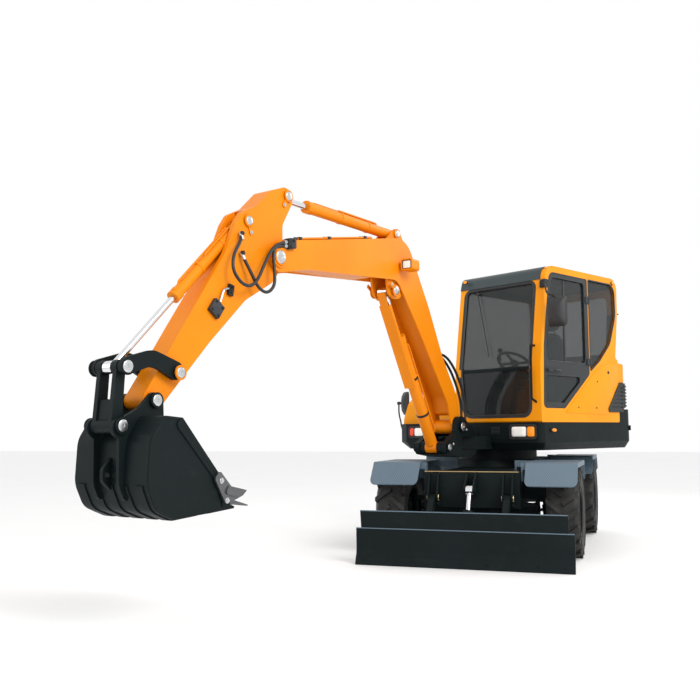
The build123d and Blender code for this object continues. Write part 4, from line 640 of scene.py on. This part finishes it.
def make_nose_hoses():
    """Two hoses that loop from the arm to the boom's nose, their steel ends, and the block on the nose."""
    block = Form(GEAR)
    block.prism(rounded(NOSE_BLOCK, 3), BOOM_HALF - SEATED, NOSE_BLOCK_FACE)
    for ahead, height in ((2.815, 2.640), (2.850, 2.590)):
        block.bolt((ahead, NOSE_BLOCK_FACE, height), LEFT, 0.009)
    block.finish("nose_block", BLACK_STEEL, "main_boom", "dark_paint", bevel=0.002)
    ports, arm_ends, nose_ends = Form(GEAR), Form(GEAR), Form(GEAR)
    for number, points in enumerate(NOSE_HOSES):
        make_hose("nose_hose_%d" % (number + 1), points, NOSE_HOSE_RADIUS, ("main_boom", "dipper"))
        ports.lathe(HOSE_PORT, points[0], (0, -1, 0), 6)
        hose_end(arm_ends, ARM_HOSE_END, points[0], points[1], 14)
        hose_end(nose_ends, NOSE_HOSE_END, points[-1], points[-2], 14)
    arm_ends.finish("hose_ends_arm", SILVER, "dipper", "steel")
    ports.finish("hose_ports_arm", BLACK_STEEL, "dipper", "dark_paint")
    nose_ends.finish("hose_ends_boom", SILVER, "main_boom", "steel")


def make_foot_hoses():
    """Bundle of hoses from the post up to the boom's back plate, with a steel end at each side."""
    boom_ends, post_ends = Form(GEAR), Form(GEAR)
    for number, w in enumerate(FOOT_HOSE_SIDES):
        points = [(ahead, w * (1.0 + FOOT_HOSE_FAN * (height - FOOT_FAN_FROM)), height)
                  for ahead, height in FOOT_ROUTE]
        make_hose("foot_hose_%d" % (number + 1), points, FOOT_HOSE_RADIUS, ("post", "main_boom"))
        hose_end(boom_ends, FOOT_HOSE_END, points[-1], points[-2], 12)
        hose_end(post_ends, FOOT_HOSE_END, points[0], points[1], 12)
    boom_ends.finish("foot_hose_ends_boom", SILVER, "main_boom", "steel")
    post_ends.finish("foot_hose_ends_post", SILVER, "post", "steel")


# Rams: body, base, tip, barrel radius, barrel length, where the pipes start, their angle round the barrel,
# finish of the bands
RAMS = [
    ("boom_ram_barrel", (0.490, 1.030), (1.320, 2.455), 0.056, 1.200, 0.16, 38, BLACK_STEEL),
    ("arm_ram_barrel", (1.222, 2.999), (2.815, 2.997), 0.047, 1.262, 0.24, 90, AMBER),
    ("bucket_ram_barrel", (3.265, 2.716), (4.401, 1.590), 0.041, 0.900, 0.14, 75, AMBER),
]
# The two pipes of a ram: angle from their middle, and how far short of the barrel's end each stops
RAM_PIPES = ((-11, 0.42), (11, 0.10))
RAM_PIPE_RADIUS = 0.007
BAND_WIDTH = 0.022
BAND_RISE = 0.004


def make_ram_pipes():
    """Pipes and bolted bands on each barrel."""
    for body, base, tip, radius, length, start, angle, band_finish in RAMS:
        turn = Matrix.Rotation(-math.atan2(tip[1] - base[1], tip[0] - base[0]), 4, "Y")
        place = GEAR @ Matrix.Translation((base[0], 0, base[1])) @ turn
        pipes, bands = Form(place), Form(place)

        def spot(along, degrees, over):
            """Point at an angle round the barrel, over its surface."""
            a = math.radians(degrees)
            return Vector((along, (radius + over) * math.cos(a), (radius + over) * math.sin(a)))
        for spread, short in RAM_PIPES:
            far = length - short
            run = ((start, -0.004), (start + 0.005, 0.012), (start + 0.05, 0.013), (far - 0.05, 0.013),
                   (far - 0.005, 0.012), (far, -0.004))
            pipes.tube(route([spot(along, angle + spread, over) for along, over in run]), RAM_PIPE_RADIUS)
        for along in (0.30 * length, 0.62 * length, length - 0.045):
            inner, outer = radius - 0.001, radius + BAND_RISE
            bands.lathe([(0.0, inner), (0.0, outer), (BAND_WIDTH, outer), (BAND_WIDTH, inner)],
                        (along, 0, 0), (1, 0, 0), 32, closed=True)
            seat = spot(along + BAND_WIDTH / 2, angle, BAND_RISE)
            bands.bolt(seat, (0, seat.y, seat.z), 0.008)
        pipes.finish(body + "_pipes", AMBER, body, "gear_paint")
        bands.finish(body + "_bands", band_finish, body, "gear_paint")


VALVE_MIDDLE = Vector((3.600, 0, 2.035))
VALVE_TURN = math.radians(-54)
VALVE_HALF = 0.052
VALVE_BOLTS = 0.036
VALVE_FACE = ARM_HALF + 0.032
BRACKET_FACE = ARM_HALF + 0.024


def make_arm_fittings():
    """Valve block, its pipe and the bracket on the arm's left side."""
    valve, bracket, pipe = Form(GEAR), Form(GEAR), Form(GEAR)
    ahead = Vector((math.cos(VALVE_TURN), 0, math.sin(VALVE_TURN)))
    up = Vector((-ahead.z, 0, ahead.x))
    corners = [ahead * a + up * b for a, b in ((-1, -1), (1, -1), (1, 1), (-1, 1))]
    outline = [VALVE_MIDDLE + corner * VALVE_HALF for corner in corners]
    valve.prism([(c.x, c.z) for c in outline], ARM_HALF - SEATED, VALVE_FACE)
    for corner in corners:
        bracket.bolt(VALVE_MIDDLE + corner * VALVE_BOLTS + Vector((0, VALVE_FACE, 0)), LEFT, 0.009)
    bracket.prism([(3.425, 2.215), (3.470, 2.225), (3.485, 2.150), (3.440, 2.138)], ARM_HALF - SEATED,
                  BRACKET_FACE)
    for spot in ((3.448, BRACKET_FACE, 2.200), (3.458, BRACKET_FACE, 2.165)):
        bracket.bolt(spot, LEFT, 0.008)
    pipe.tube(route([(3.475, ARM_HALF + 0.014, 2.190), (3.515, ARM_HALF + 0.016, 2.185),
                     (3.545, ARM_HALF + 0.018, 2.145), (3.562, ARM_HALF + 0.018, 2.085)]), 0.009)
    valve.finish("arm_valve", DOOR_GREY, "dipper", "dark_paint", bevel=0.004)
    bracket.finish("arm_valve_fittings", BLACK_STEEL, "dipper", "dark_paint", bevel=0.001)
    pipe.finish("arm_valve_pipe", SILVER, "dipper", "steel")


BOOM_LAMP_SIDE = BOOM_HALF + 0.0003
BOOM_LAMP_BACK = 1.2682
BOOM_LAMP_FRONT = 1.277
BOOM_LENS_BACK = 1.272
BOOM_LENS_SEAT = 1.2725
BOOM_LENS_DOME = 0.004


def make_boom_lamp_lens():
    """Domed lens and its dark ring in the work lamp's housing."""
    ring = rectangle(BOOM_LAMP_SIDE + 0.043, BOOM_LAMP_SIDE + 0.137, 2.653, 2.732, 0.013, 5)
    middle = Vector((BOOM_LAMP_SIDE + 0.090, 2.6925))
    inner = scaled(ring, middle, 0.86)
    bezel, lens = Form(GEAR), Form(GEAR)
    bezel.strip([facing(ring, BOOM_LAMP_BACK), facing(ring, BOOM_LAMP_FRONT), facing(inner, BOOM_LAMP_FRONT),
                 facing(inner, BOOM_LENS_BACK)])
    lens.strip([facing(scaled(inner, middle, s), BOOM_LENS_SEAT + BOOM_LENS_DOME * (1 - s * s))
                for s in (1.0, 0.96, 0.8, 0.6, 0.4, 0.2, 0.05)])
    bezel.finish("boom_lamp_ring", BLACK_PLASTIC, "main_boom", "plastic")
    lens.finish("boom_lamp_lens", CLEAR_LENS, "main_boom", "lamp")


BUCKET_EDGE = [(4.118, 1.270, 0), (4.270, 1.283, 0.06), (4.375, 1.150, 0.16), (4.392, 0.880, 0.18),
               (4.325, 0.737, 0.12), (4.178, 0.676, 0.12), (3.90, 0.690, 0)]
BUCKET_WELD_SIDE = 0.3295
CUTTER_FACE = 0.3543
TEETH = 5
TOOTH_PITCH = 0.1425
TOOTH_PIN_SIDE = 0.032


def make_bucket_trim():
    """Bolts of the side cutters, pins of the teeth and the weld round the side plates."""
    bolts, welds = Form(GEAR), Form(GEAR)
    for side in (-1, 1):
        for ahead, height in ((3.800, 0.885), (3.748, 0.757)):
            bolts.bolt((ahead, side * CUTTER_FACE, height), (0, side, 0), 0.014)
        welds.tube(upright(rounded(BUCKET_EDGE), side * BUCKET_WELD_SIDE), 0.005, 8)
        for i in range(TEETH):
            w = TOOTH_PITCH * (i - (TEETH - 1) / 2)
            bolts.lathe([(-0.002, 0.009), (0.003, 0.009), (0.004, 0.007), (0.004, 0.001)],
                        (3.71, w + side * TOOTH_PIN_SIDE, 0.735), (0, side, 0), 12)
    bolts.finish("bucket_bolts", SILVER, "shovel", "wear_steel")
    welds.finish("bucket_welds", CHARCOAL, "shovel", "dark_paint")


# Upper structure

# Outlines of the openings, as in the solids: (x or y, z, corner radius), x on the side and y in front
DOOR_PANES = [[(0.268, 2.740, 0.05), (0.385, 2.030, 0.20), (0.385, 1.880, 0.06), (-0.330, 1.880, 0.06),
               (-0.330, 2.740, 0.05)],
              [(0.420, 1.740, 0.04), (0.425, 1.455, 0.04), (0.110, 1.455, 0.04), (-0.290, 1.740, 0.04)]]
DOOR_OUTLINE = [(0.316, 2.784, 0.09), (0.438, 2.040, 0.20), (0.466, 1.410, 0.05), (0.095, 1.410, 0.05),
                (-0.388, 1.770, 0.06), (-0.388, 2.784, 0.02)]
QUARTER_PANE = [(-0.412, 2.784, 0.02), (-0.412, 1.806, 0.01), (-0.600, 1.926, 0.30), (-0.820, 2.120, 0.26),
                (-0.955, 2.440, 0.30), (-0.945, 2.784, 0.11)]
# The windscreen's bead runs 4 mm inside its opening
SCREEN_BEAD = [(-0.036, 1.340, 0.11), (0.796, 1.340, 0.08), (0.802, 2.684, 0.06), (-0.068, 2.684, 0.06),
               (-0.074, 1.850, 0)]
SCREEN_BORDER = 0.026
SCREEN_BORDER_FACE = 0.0015
SCREEN_BORDER_BACK = -0.004
SCREEN_STEP = 0.12


def make_seals():
    """Rubber beads round the panes, the windscreen's dark border, and the edge of the door's sliding pane."""
    cab, door = Form(UPPER), Form(UPPER)
    cab.tube(upright(rounded(QUARTER_PANE), CAB_LEFT - 0.004), 0.009, 8, closed=True)
    cab.tube(upright(rounded(DOOR_OUTLINE), CAB_LEFT - 0.003), 0.005, 8, closed=True)
    pane = rounded(SCREEN_BEAD)
    dense = []
    for first, second in zip(pane, pane[1:] + pane[:1]):
        steps = max(1, int((second - first).length / SCREEN_STEP))
        dense += [first.lerp(second, k / steps) for k in range(steps)]
    cab.tube([(screen_front(b) - 0.008, a, b) for a, b in dense], 0.012, 8, closed=True)
    wide = [point - (dense[(i + 1) % len(dense)] - dense[i - 1]).orthogonal().normalized() * SCREEN_BORDER
            for i, point in enumerate(dense)]
    section = ((dense, SCREEN_BORDER_BACK), (dense, SCREEN_BORDER_FACE), (wide, SCREEN_BORDER_FACE),
               (wide, SCREEN_BORDER_BACK))
    cab.strip([[(screen_front(b) + level, a, b) for a, b in ring] for ring, level in section], closed=True)
    for rows in DOOR_PANES:
        door.tube(upright(rounded(rows), CAB_LEFT - 0.004), 0.007, 8, closed=True)
    cab.finish("cab_seals", BLACK_PLASTIC, "upper", "plastic")
    door.finish("door_seals", BLACK_PLASTIC, "cab_door", "plastic")
    pane_edge = Form(UPPER)
    pane_edge.prism(rectangle(0.028, 0.052, 1.885, 2.735), CAB_LEFT - 0.030, CAB_LEFT - 0.014)
    pane_edge.finish("sliding_pane_edge", BLACK_PLASTIC, "cab_door", "plastic", bevel=0.003)


SWEPT_SHEET = [(0.10, 1.362, 0.02), (0.040, 1.405, 0.0), (-0.196, 1.585, 0.25), (-0.450, 1.772, 0.25),
               (-0.560, 1.845, 0.25), (-0.760, 1.900, 0.25), (-0.965, 1.918, 0.0), (-0.965, 1.722, 0.0),
               (-0.735, 1.372, 0.08), (-0.69, 1.352, 0.0)]
SHEET_FACE = CAB_LEFT + 0.005
SHEET_BOLTS = ((-0.15, 1.42), (-0.50, 1.42), (-0.53, 1.70))
GRIP_PLATE = [(0.150, 1.760, 0.02), (0.420, 1.760, 0.02), (0.410, 1.812, 0.02), (0.160, 1.812, 0.02)]


def make_side_panel():
    """Raised sheet with the swept edge below and behind the door, its bolts, the lock and the door's grip."""
    sheet, dark, grip = Form(UPPER), Form(UPPER), Form(UPPER)
    sheet.prism(rounded(SWEPT_SHEET, 5), CAB_LEFT - SEATED, SHEET_FACE)
    for ahead, height in SHEET_BOLTS:
        dark.bolt((ahead, SHEET_FACE, height), LEFT, 0.007)
    dark.lathe([(0, 0.016), (0.004, 0.016), (0.006, 0.013), (0.006, 0.004), (0.004, 0.003)],
               (-0.759, SHEET_FACE, 1.806), LEFT, 20)
    grip.prism(rounded(GRIP_PLATE), CAB_LEFT - SEATED, CAB_LEFT + 0.007)
    grip.tube([(0.30, CAB_LEFT + 0.026, 1.784), (0.20, CAB_LEFT + 0.024, 1.785),
               (0.17, CAB_LEFT + 0.012, 1.785), (0.165, CAB_LEFT, 1.785)], 0.010)
    sheet.finish("side_panel", CAB_AMBER, "upper", "cab_paint", bevel=0.003)
    dark.finish("side_panel_bolts", BLACK_STEEL, "upper", "dark_paint")
    grip.finish("door_grip", BLACK_PLASTIC, "cab_door", "plastic", bevel=0.002)


# Deck lamps' frames and the lenses in them: low and high across, bottom, top
DECK_LAMP_FRAMES = ((0.545, 0.870, 1.100, 1.250), (-0.835, -0.590, 1.112, 1.242))
CLEAR_LENSES = ((0.575, 0.745, 1.125, 1.225), (-0.745, -0.615, 1.132, 1.222))
AMBER_LENSES = ((0.762, 0.845, 1.125, 1.225),)
RED_LENSES = ((-0.812, -0.758, 1.132, 1.222),)
# Lenses and their bases: rows of (height over the seat, share of the outline)
DECK_LENS_DOME = ((0.0, 1.0), (0.012, 0.97), (0.019, 0.85), (0.022, 0.5), (0.0225, 0.08))
MARKER_BASE = ((-0.001, 1.15), (0.010, 1.15), (0.014, 1.035))
MARKER_DOME = ((0.010, 0.92), (0.020, 0.8556), (0.027, 0.6624), (0.030, 0.322))
# Marker lamps: place, way they face, width, height
MARKERS = (((0.321, CAB_LEFT - 0.001, 1.189), (0, 1, 0), 0.075, 0.040),
           ((0.410, -0.062, 2.790), (1, 0, 0), 0.050, 0.035),
           ((-0.905, CAB_LEFT - 0.002, 2.800), (0, 1, 0), 0.050, 0.035))


def make_lamps():
    """Lamps in the deck's front, the side marker, and the two small ones on the cab."""
    base, clear, amber, red = (Form(UPPER) for _ in range(4))
    for low, high, bottom, top in DECK_LAMP_FRAMES:
        rows = rectangle(low, high, bottom, top, 0.03, 5)
        middle = Vector(((low + high) / 2, (bottom + top) / 2))
        inner = [middle + Vector(((p.x - middle.x) * 0.90, (p.y - middle.y) * 0.80)) for p in rows]
        base.strip([facing(rows, DECK_FRONT - SEATED), facing(rows, DECK_FRONT + 0.014),
                    facing(inner, DECK_FRONT + 0.014), facing(inner, DECK_FRONT + 0.004)])
    for form, lenses in ((clear, CLEAR_LENSES), (amber, AMBER_LENSES), (red, RED_LENSES)):
        for low, high, bottom, top in lenses:
            rows = rectangle(low, high, bottom, top, 0.02, 5)
            middle = Vector(((low + high) / 2, (bottom + top) / 2))
            form.strip([facing(scaled(rows, middle, size), DECK_FRONT + 0.003 + depth)
                        for depth, size in DECK_LENS_DOME])
    for spot, out, width, height in MARKERS:
        out = Vector(out)
        across = out.cross(UP) * width / 2
        for form, rows in ((base, MARKER_BASE), (amber, MARKER_DOME)):
            form.strip([[Vector(spot) + out * level + (across * cos + UP * (height / 2 * sin)) * size
                         for cos, sin in circle(24)] for level, size in rows])
    base.finish("lamp_bezels", BLACK_PLASTIC, "upper", "plastic")
    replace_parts(clear.finish("head_lamps", CLEAR_LENS, "upper", "lamp"), "lamps")
    amber.finish("marker_lamps", AMBER_LENS, "upper", "lamp")
    red.finish("deck_lamp_red", RED_LENS, "upper", "lamp")


CAB_MIRROR_ROD = [(0.405, 0.900, 2.660), (0.440, 0.938, 2.655), (0.455, 0.975, 2.620), (0.456, 0.985, 2.555),
                  (0.458, 1.020, 2.520), (0.460, 1.085, 2.515), (0.462, 1.115, 2.470)]
CAB_MIRROR_FOOT = [(0.360, 2.615, 0.01), (0.425, 2.615, 0.01), (0.415, 2.700, 0.01), (0.350, 2.700, 0.01)]
DECK_MIRROR_ROD = [(0.290, -1.080, 1.195), (0.290, -1.135, 1.200), (0.290, -1.165, 1.240),
                   (0.290, -1.172, 1.300), (0.290, -1.190, 1.350), (0.290, -1.205, 1.420),
                   (0.290, -1.200, 1.510)]
DECK_MIRROR_KNOB = [(-0.020, 0.012), (-0.014, 0.018), (0.0, 0.021), (0.014, 0.018), (0.045, 0.012)]
MIRROR_ROD_RADIUS = 0.009
# Mirrors: middle, way the housing faces, width, height, depth
MIRRORS = (((0.446, 1.100, 2.350), (1, 0.15, 0), 0.205, 0.300, 0.065),
           ((0.283, -1.085, 1.510), (1, -0.55, 0), 0.185, 0.270, 0.060))
# Housing, thin at its rim and then domed: rows of (place, share of the outline)
MIRROR_RIM = ((-0.006, 0.93), (-0.004, 1.0), (0.006, 1.0))
MIRROR_DOME = ((0.30, 0.93), (0.70, 0.66), (0.95, 0.32), (1.0, 0.08))
MIRROR_PANE = ((-0.009, 0.88), (-0.005, 0.90))


def make_mirrors():
    """Mirror on the cab's front corner and the one on the deck's right corner, on bent rods."""
    house, rod, face = Form(UPPER), Form(UPPER), Form(UPPER)
    rod.tube(route(CAB_MIRROR_ROD), MIRROR_ROD_RADIUS)
    rod.prism(rounded(CAB_MIRROR_FOOT), 0.885, 0.942)
    rod.tube(route(DECK_MIRROR_ROD), MIRROR_ROD_RADIUS)
    rod.prism(rectangle(0.255, 0.325, 1.130, 1.235, 0.01), -1.110, -1.048)
    rod.lathe(DECK_MIRROR_KNOB, (0.290, -1.200, 1.515), LEFT, 16)
    for middle, out, width, height, depth in MIRRORS:
        out = Vector(out).normalized()
        across = out.cross(UP).normalized()
        outline = rectangle(-width / 2, width / 2, -height / 2, height / 2, 0.035, 5)
        housing = MIRROR_RIM + tuple((share * depth, size) for share, size in MIRROR_DOME)
        for form, rows in ((house, housing), (face, MIRROR_PANE)):
            form.strip([[Vector(middle) + out * level + (across * p.x + UP * p.y) * size for p in outline]
                        for level, size in rows])
    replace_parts(house.finish("mirror_housings", BLACK_PLASTIC, "upper", "plastic"), "mirrors")
    rod.finish("mirror_rods", BLACK_STEEL, "upper", "dark_paint")
    face.finish("mirror_glass", MIRROR_GLASS, "upper", "steel")


AERIAL = [(-0.985, 0.905, 2.470), (-1.030, 0.905, 2.474), (-1.066, 0.905, 2.472)]
# The wiper's run: height, across, and how far it stands off the screen
WIPER_RUN = ((2.620, 0.10, 0.012), (2.300, 0.20, 0.016), (1.950, 0.30, 0.014))
DECK_LINE_HEIGHT = 1.108
DECK_PORT = [(-0.002, 0.060), (0.004, 0.060), (0.006, 0.055), (0.006, 0.046), (0.001, 0.044)]
VENT_SLATS = 5
VENT_BOTTOM = 1.158
VENT_PITCH = 0.015
SLAT_HEIGHT = 0.008


def make_cab_trim():
    """Aerial at the rear, wiper, and the deck front's edge, round port and vent."""
    dark, lines, vent = Form(UPPER), Form(UPPER), Form(UPPER)
    dark.tube(AERIAL, 0.007)
    dark.lathe([(0, 0.016), (0.012, 0.016), (0.016, 0.010)], (-0.988, 0.905, 2.470), (-1, 0, 0), 14)
    dark.tube(route([(screen_front(z) + off, across, z) for z, across, off in WIPER_RUN]), 0.006)
    dark.lathe([(0, 0.020), (0.016, 0.020), (0.022, 0.012)], (screen_front(2.64) + 0.001, 0.095, 2.640),
               (1, 0, 0.1), 16)
    lines.tube([(DECK_FRONT + 0.001, across, DECK_LINE_HEIGHT) for across in (0.88, 0.0)], 0.004, 8)
    lines.lathe(DECK_PORT, (DECK_FRONT, 0.09, 1.175), (1, 0, 0), 28)
    for i in range(VENT_SLATS):
        z = VENT_BOTTOM + VENT_PITCH * i
        slat = rectangle(0.314, 0.420, z, z + SLAT_HEIGHT)
        vent.prism(slat, DECK_FRONT - SEATED, DECK_FRONT + 0.006, facing)
    dark.finish("cab_trim", BLACK_PLASTIC, "upper", "plastic")
    lines.finish("deck_trim", CHARCOAL, "upper", "dark_paint")
    vent.finish("deck_vent", DOOR_GREY, "upper", "dark_paint", bevel=0.001)


PAD_CUTS = 22
PAD_ROUND_OFF = 3.2
PAD_PULL = 0.035
PAD_CROWN = 0.20
GROOVE_WIDTH = 0.035
GROOVE_DEPTH = 0.10
PIPING_LEVEL = 0.55
PIPING_WIDTH = 0.06
PIPING_DEPTH = 0.06


def pad(name, middle, size, lean, grooves):
    """Crowned cushion: sides that pull in between its corners, sewn grooves across its face."""
    form = bmesh.new()
    bmesh.ops.create_cube(form, size=2.0)
    bmesh.ops.subdivide_edges(form, edges=form.edges, cuts=PAD_CUTS, use_grid_fill=True)
    half = Vector(size) / 2
    place = UPPER @ Matrix.Translation(middle) @ Matrix.Rotation(math.radians(lean), 4, "Y")
    for vertex in form.verts:
        flat = [abs(value) for value in vertex.co]
        reach = sum(value ** PAD_ROUND_OFF for value in flat) ** (1 / PAD_ROUND_OFF)
        a, b, c = vertex.co / max(1e-6, reach) * max(flat)
        crown = (1 - a * a) * (1 - b * b)
        pull = 1.0 - PAD_PULL * (1 - a * a) * abs(b) - PAD_PULL * (1 - b * b) * abs(a)
        dent = sum(math.exp(-((b - groove) / GROOVE_WIDTH) ** 2) for groove in grooves) * GROOVE_DEPTH
        piping = 0.0
        if max(abs(a), abs(b)) > 0.8:
            piping = PIPING_DEPTH * math.exp(-((abs(c) - PIPING_LEVEL) / PIPING_WIDTH) ** 2)
        height = c * (1 - PAD_CROWN + PAD_CROWN * crown) - (dent * c * (1 - a ** 6) if c > 0.2 else 0.0)
        vertex.co = place @ Vector((a * half.x * (pull - piping), b * half.y * (pull - piping),
                                    height * half.z))
    data = bpy.data.meshes.new(name)
    form.to_mesh(data)
    form.free()
    data.shade_smooth()
    data.materials.append(SEAT_CLOTH)
    piece = linked(name, data)
    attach(piece, "upper")
    return piece


BELLOWS_FOLDS = 7
BELLOWS_PITCH = 0.042
BELLOWS_FOLD = 0.012
SEAT_BASE_HALF = 0.178
HEAD_ROD_SIDE = 0.07


def make_seat():
    """Padded seat on its suspension's bellows, with the two rods of its head pad."""
    cushion = pad("seat_cushion", (-0.200, SEAT_MIDDLE, CAB_FLOOR + 0.374), (0.455, 0.475, 0.105), -3,
                  (-0.55, 0.55))
    pad("seat_back", (-0.438, SEAT_MIDDLE, CAB_FLOOR + 0.690), (0.520, 0.455, 0.100), -80, (-0.5, 0.5))
    pad("seat_head_pad", (-0.474, SEAT_MIDDLE, CAB_FLOOR + 1.022), (0.112, 0.255, 0.080), -86, ())
    base = Form(UPPER)
    for k in range(BELLOWS_FOLDS):
        grow = BELLOWS_FOLD * (k % 2)
        half = SEAT_BASE_HALF + grow
        low = CAB_FLOOR + 0.02 + BELLOWS_PITCH * k
        base.prism(rectangle(-0.470 - grow, -0.075 + grow, SEAT_MIDDLE - half, SEAT_MIDDLE + half, 0.03, 4),
                   low, low + BELLOWS_PITCH, lambda outline, level: [(a, b, level) for a, b in outline])
    for side in (-1, 1):
        base.tube([(-0.474, SEAT_MIDDLE + HEAD_ROD_SIDE * side, CAB_FLOOR + height)
                   for height in (0.915, 0.985)], 0.007)
    base.finish("seat_base", BLACK_PLASTIC, "upper", "plastic", bevel=0.003)
    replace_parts(cushion, "seat")


# Undercarriage

# Bolts of a wheel: how many, angle of the first, radius of their circle, face they sit on, size
WHEEL_BOLTS = ((10, math.radians(9), 0.146, 0.027, 0.013), (8, 0.0, 0.062, 0.1045, 0.007))
# Raised rings on a tyre's side: radius and place across
TYRE_RINGS = ((0.262, 0.1245), (0.322, 0.1485), (0.352, 0.1495))
VALVE_STEM = ((0.192, 0.040), (0.196, 0.075), (0.186, 0.095))


def make_wheel_trim():
    """Nuts, hub bolts and valve of each wheel, and rings on the tyre's sides."""
    for axle in ("front", "rear"):
        for side, sign in (("left", 1), ("right", -1)):
            which = "%s_%s" % (axle, side)
            place = Matrix.Translation(JOINT_AT["wheel_" + which])
            nuts, tyre = Form(place), Form(place)
            for count, first, radius, level, size in WHEEL_BOLTS:
                for cos, sin in circle(count, first):
                    nuts.bolt((radius * cos, sign * level, radius * sin), (0, sign, 0), size)
            nuts.tube([(out, sign * level, 0.03) for out, level in VALVE_STEM], 0.004)
            for radius, level in TYRE_RINGS:
                tyre.tube([(radius * cos, sign * level, radius * sin) for cos, sin in circle(64)], 0.0035, 6,
                          closed=True)
            nuts.finish("nuts_" + which, SILVER, which + "_wheel", "steel")
            tyre.finish("tyre_rings_" + which, TYRE_RUBBER, which + "_wheel", "tyre")


BLADE_HALF = 0.9622
BLADE_EDGE_FACE = BLADE_FRONT - 0.0165
BLADE_BOLTS = 9
BLADE_BOLT_PITCH = 0.22
# Painted highlights along the blade's plate edges, as lighter lines: height, half length, place ahead
BLADE_HIGHLIGHT_LINES = ((0.478, 0.913, BLADE_FRONT - 0.0145), (0.321, 0.9605, BLADE_FRONT - 0.040))
ARM_PIN = (1.560, 0.575)
ARM_PIN_SIDE = 0.346
ARM_PIN_RADIUS = 0.030
ARM_PIN_HALF = 0.062


def make_blade_trim():
    """Cutting edge with its bolts, painted highlights as lighter lines along the plates' edges, and the brass
    pins of the arms.
    """
    edge, lines, pins = Form(UNDER), Form(UNDER), Form(UNDER)
    edge.prism([(BLADE_EDGE_FACE, 0.0), (BLADE_FRONT, 0.0), (BLADE_FRONT - 0.026, 0.078),
                (BLADE_FRONT - 0.036, 0.078)], -BLADE_HALF, BLADE_HALF)
    for k in range(BLADE_BOLTS):
        y = BLADE_BOLT_PITCH * (k - (BLADE_BOLTS - 1) / 2)
        edge.bolt((BLADE_EDGE_FACE, y, 0.048), (1, 0, 0.36), 0.011)
    # Painted highlight: lines in the lighter blue-grey paint along the near-black blade's edges
    for height, half, ahead in BLADE_HIGHLIGHT_LINES:
        lines.tube([(ahead, -half, height), (ahead, half, height)], 0.005, 8)
    ahead, height = ARM_PIN
    for y in (-ARM_PIN_SIDE, ARM_PIN_SIDE):
        pins.lathe([(-ARM_PIN_HALF, ARM_PIN_RADIUS), (-ARM_PIN_HALF, 0.012), (ARM_PIN_HALF, 0.012),
                    (ARM_PIN_HALF, ARM_PIN_RADIUS)], (ahead, y, height), LEFT, 18)
        for side in (-1, 1):
            pins.cap((ahead, y + side * 0.046, height), (0, side, 0), ARM_PIN_RADIUS)
    pins.tube([(1.5015, -0.44, 0.809), (1.5015, 0.44, 0.809)], 0.005, 8)
    edge.finish("blade_edge", CHARCOAL, "dozer", "dark_paint")
    lines.finish("blade_edge_highlights", BLUE_GREY, "dozer", "tread_plate")
    pins.finish("chassis_pins", BRASS, "undercarriage", "steel")


# Studio

FLOOR_HALF = 40.0
FLOOR_LEVEL = -0.002
LIGHT_AIM = Vector((-0.5, 0.0, 1.2))
# Lights: name, place, size, power, colour
LIGHTS = (("key", (5.0, 6.0, 6.5), (4.0, 4.0), 520.0, (1.0, 0.98, 0.95)),
          ("fill", (6.0, -6.0, 3.5), (5.0, 4.0), 60.0, (0.95, 0.97, 1.0)),
          ("back", (-6.0, 3.0, 5.5), (4.0, 3.0), 120.0, (1.0, 1.0, 1.0)))


def make_camera():
    """Camera at the photograph's place, with its field of view."""
    yaw, pitch, roll = CAMERA_YAW, CAMERA_PITCH, CAMERA_ROLL
    ahead = Vector((math.cos(pitch) * math.cos(yaw), math.cos(pitch) * math.sin(yaw), math.sin(pitch)))
    right = Vector((math.sin(yaw), -math.cos(yaw), 0.0))
    up = right.cross(ahead)
    right, up = (right * math.cos(roll) + up * math.sin(roll),
                 up * math.cos(roll) - right * math.sin(roll))
    turn = Matrix((right, up, -ahead)).transposed().to_4x4()
    data = bpy.data.cameras.new("camera")
    data.sensor_width = SENSOR
    data.lens = FOCAL_PIXELS / IMAGE_PIXELS * SENSOR
    data.clip_end = 100.0
    camera = linked("camera", data)
    camera.matrix_world = Matrix.Translation(TURNTABLE + CAMERA_FROM_TURNTABLE) @ turn
    bpy.context.scene.camera = camera


def make_studio():
    """Pale floor, white surroundings and three soft lights."""
    mesh = bpy.data.meshes.new("floor")
    corners = ((-1, -1), (1, -1), (1, 1), (-1, 1))
    mesh.from_pydata([(a * FLOOR_HALF, b * FLOOR_HALF, FLOOR_LEVEL) for a, b in corners], [], [(0, 1, 2, 3)])
    n = Nodes("studio_floor")
    n.color(n.mix(n.noise(0.6, 2.0), (0.87, 0.87, 0.87), (0.90, 0.90, 0.90)))
    n.set(Roughness=0.9)
    mesh.materials.append(n.material)
    linked("floor", mesh)
    world = bpy.data.worlds.new("studio")
    world.use_nodes = True
    background = world.node_tree.nodes["Background"]
    background.inputs["Color"].default_value = (1.0, 1.0, 1.0, 1.0)
    background.inputs["Strength"].default_value = 1.0
    bpy.context.scene.world = world
    for name, place, size, power, color in LIGHTS:
        data = bpy.data.lights.new(name, "AREA")
        data.shape = "RECTANGLE"
        data.size, data.size_y = size
        data.energy = power
        data.color = color
        turn = (LIGHT_AIM - Vector(place)).to_track_quat("-Z", "Y").to_matrix().to_4x4()
        linked(name, data).matrix_world = Matrix.Translation(place) @ turn
    bpy.context.scene.view_settings.view_transform = "Standard"


finish_nodes()
paint_cab_inside_shade()
make_camera()
make_nose_hoses()
make_foot_hoses()
make_pins()
make_boom_pipes()
make_ram_pipes()
make_arm_fittings()
make_boom_lamp_lens()
make_bucket_trim()
make_seals()
make_side_panel()
make_lamps()
make_mirrors()
make_cab_trim()
make_seat()
make_wheel_trim()
make_blade_trim()
make_studio()
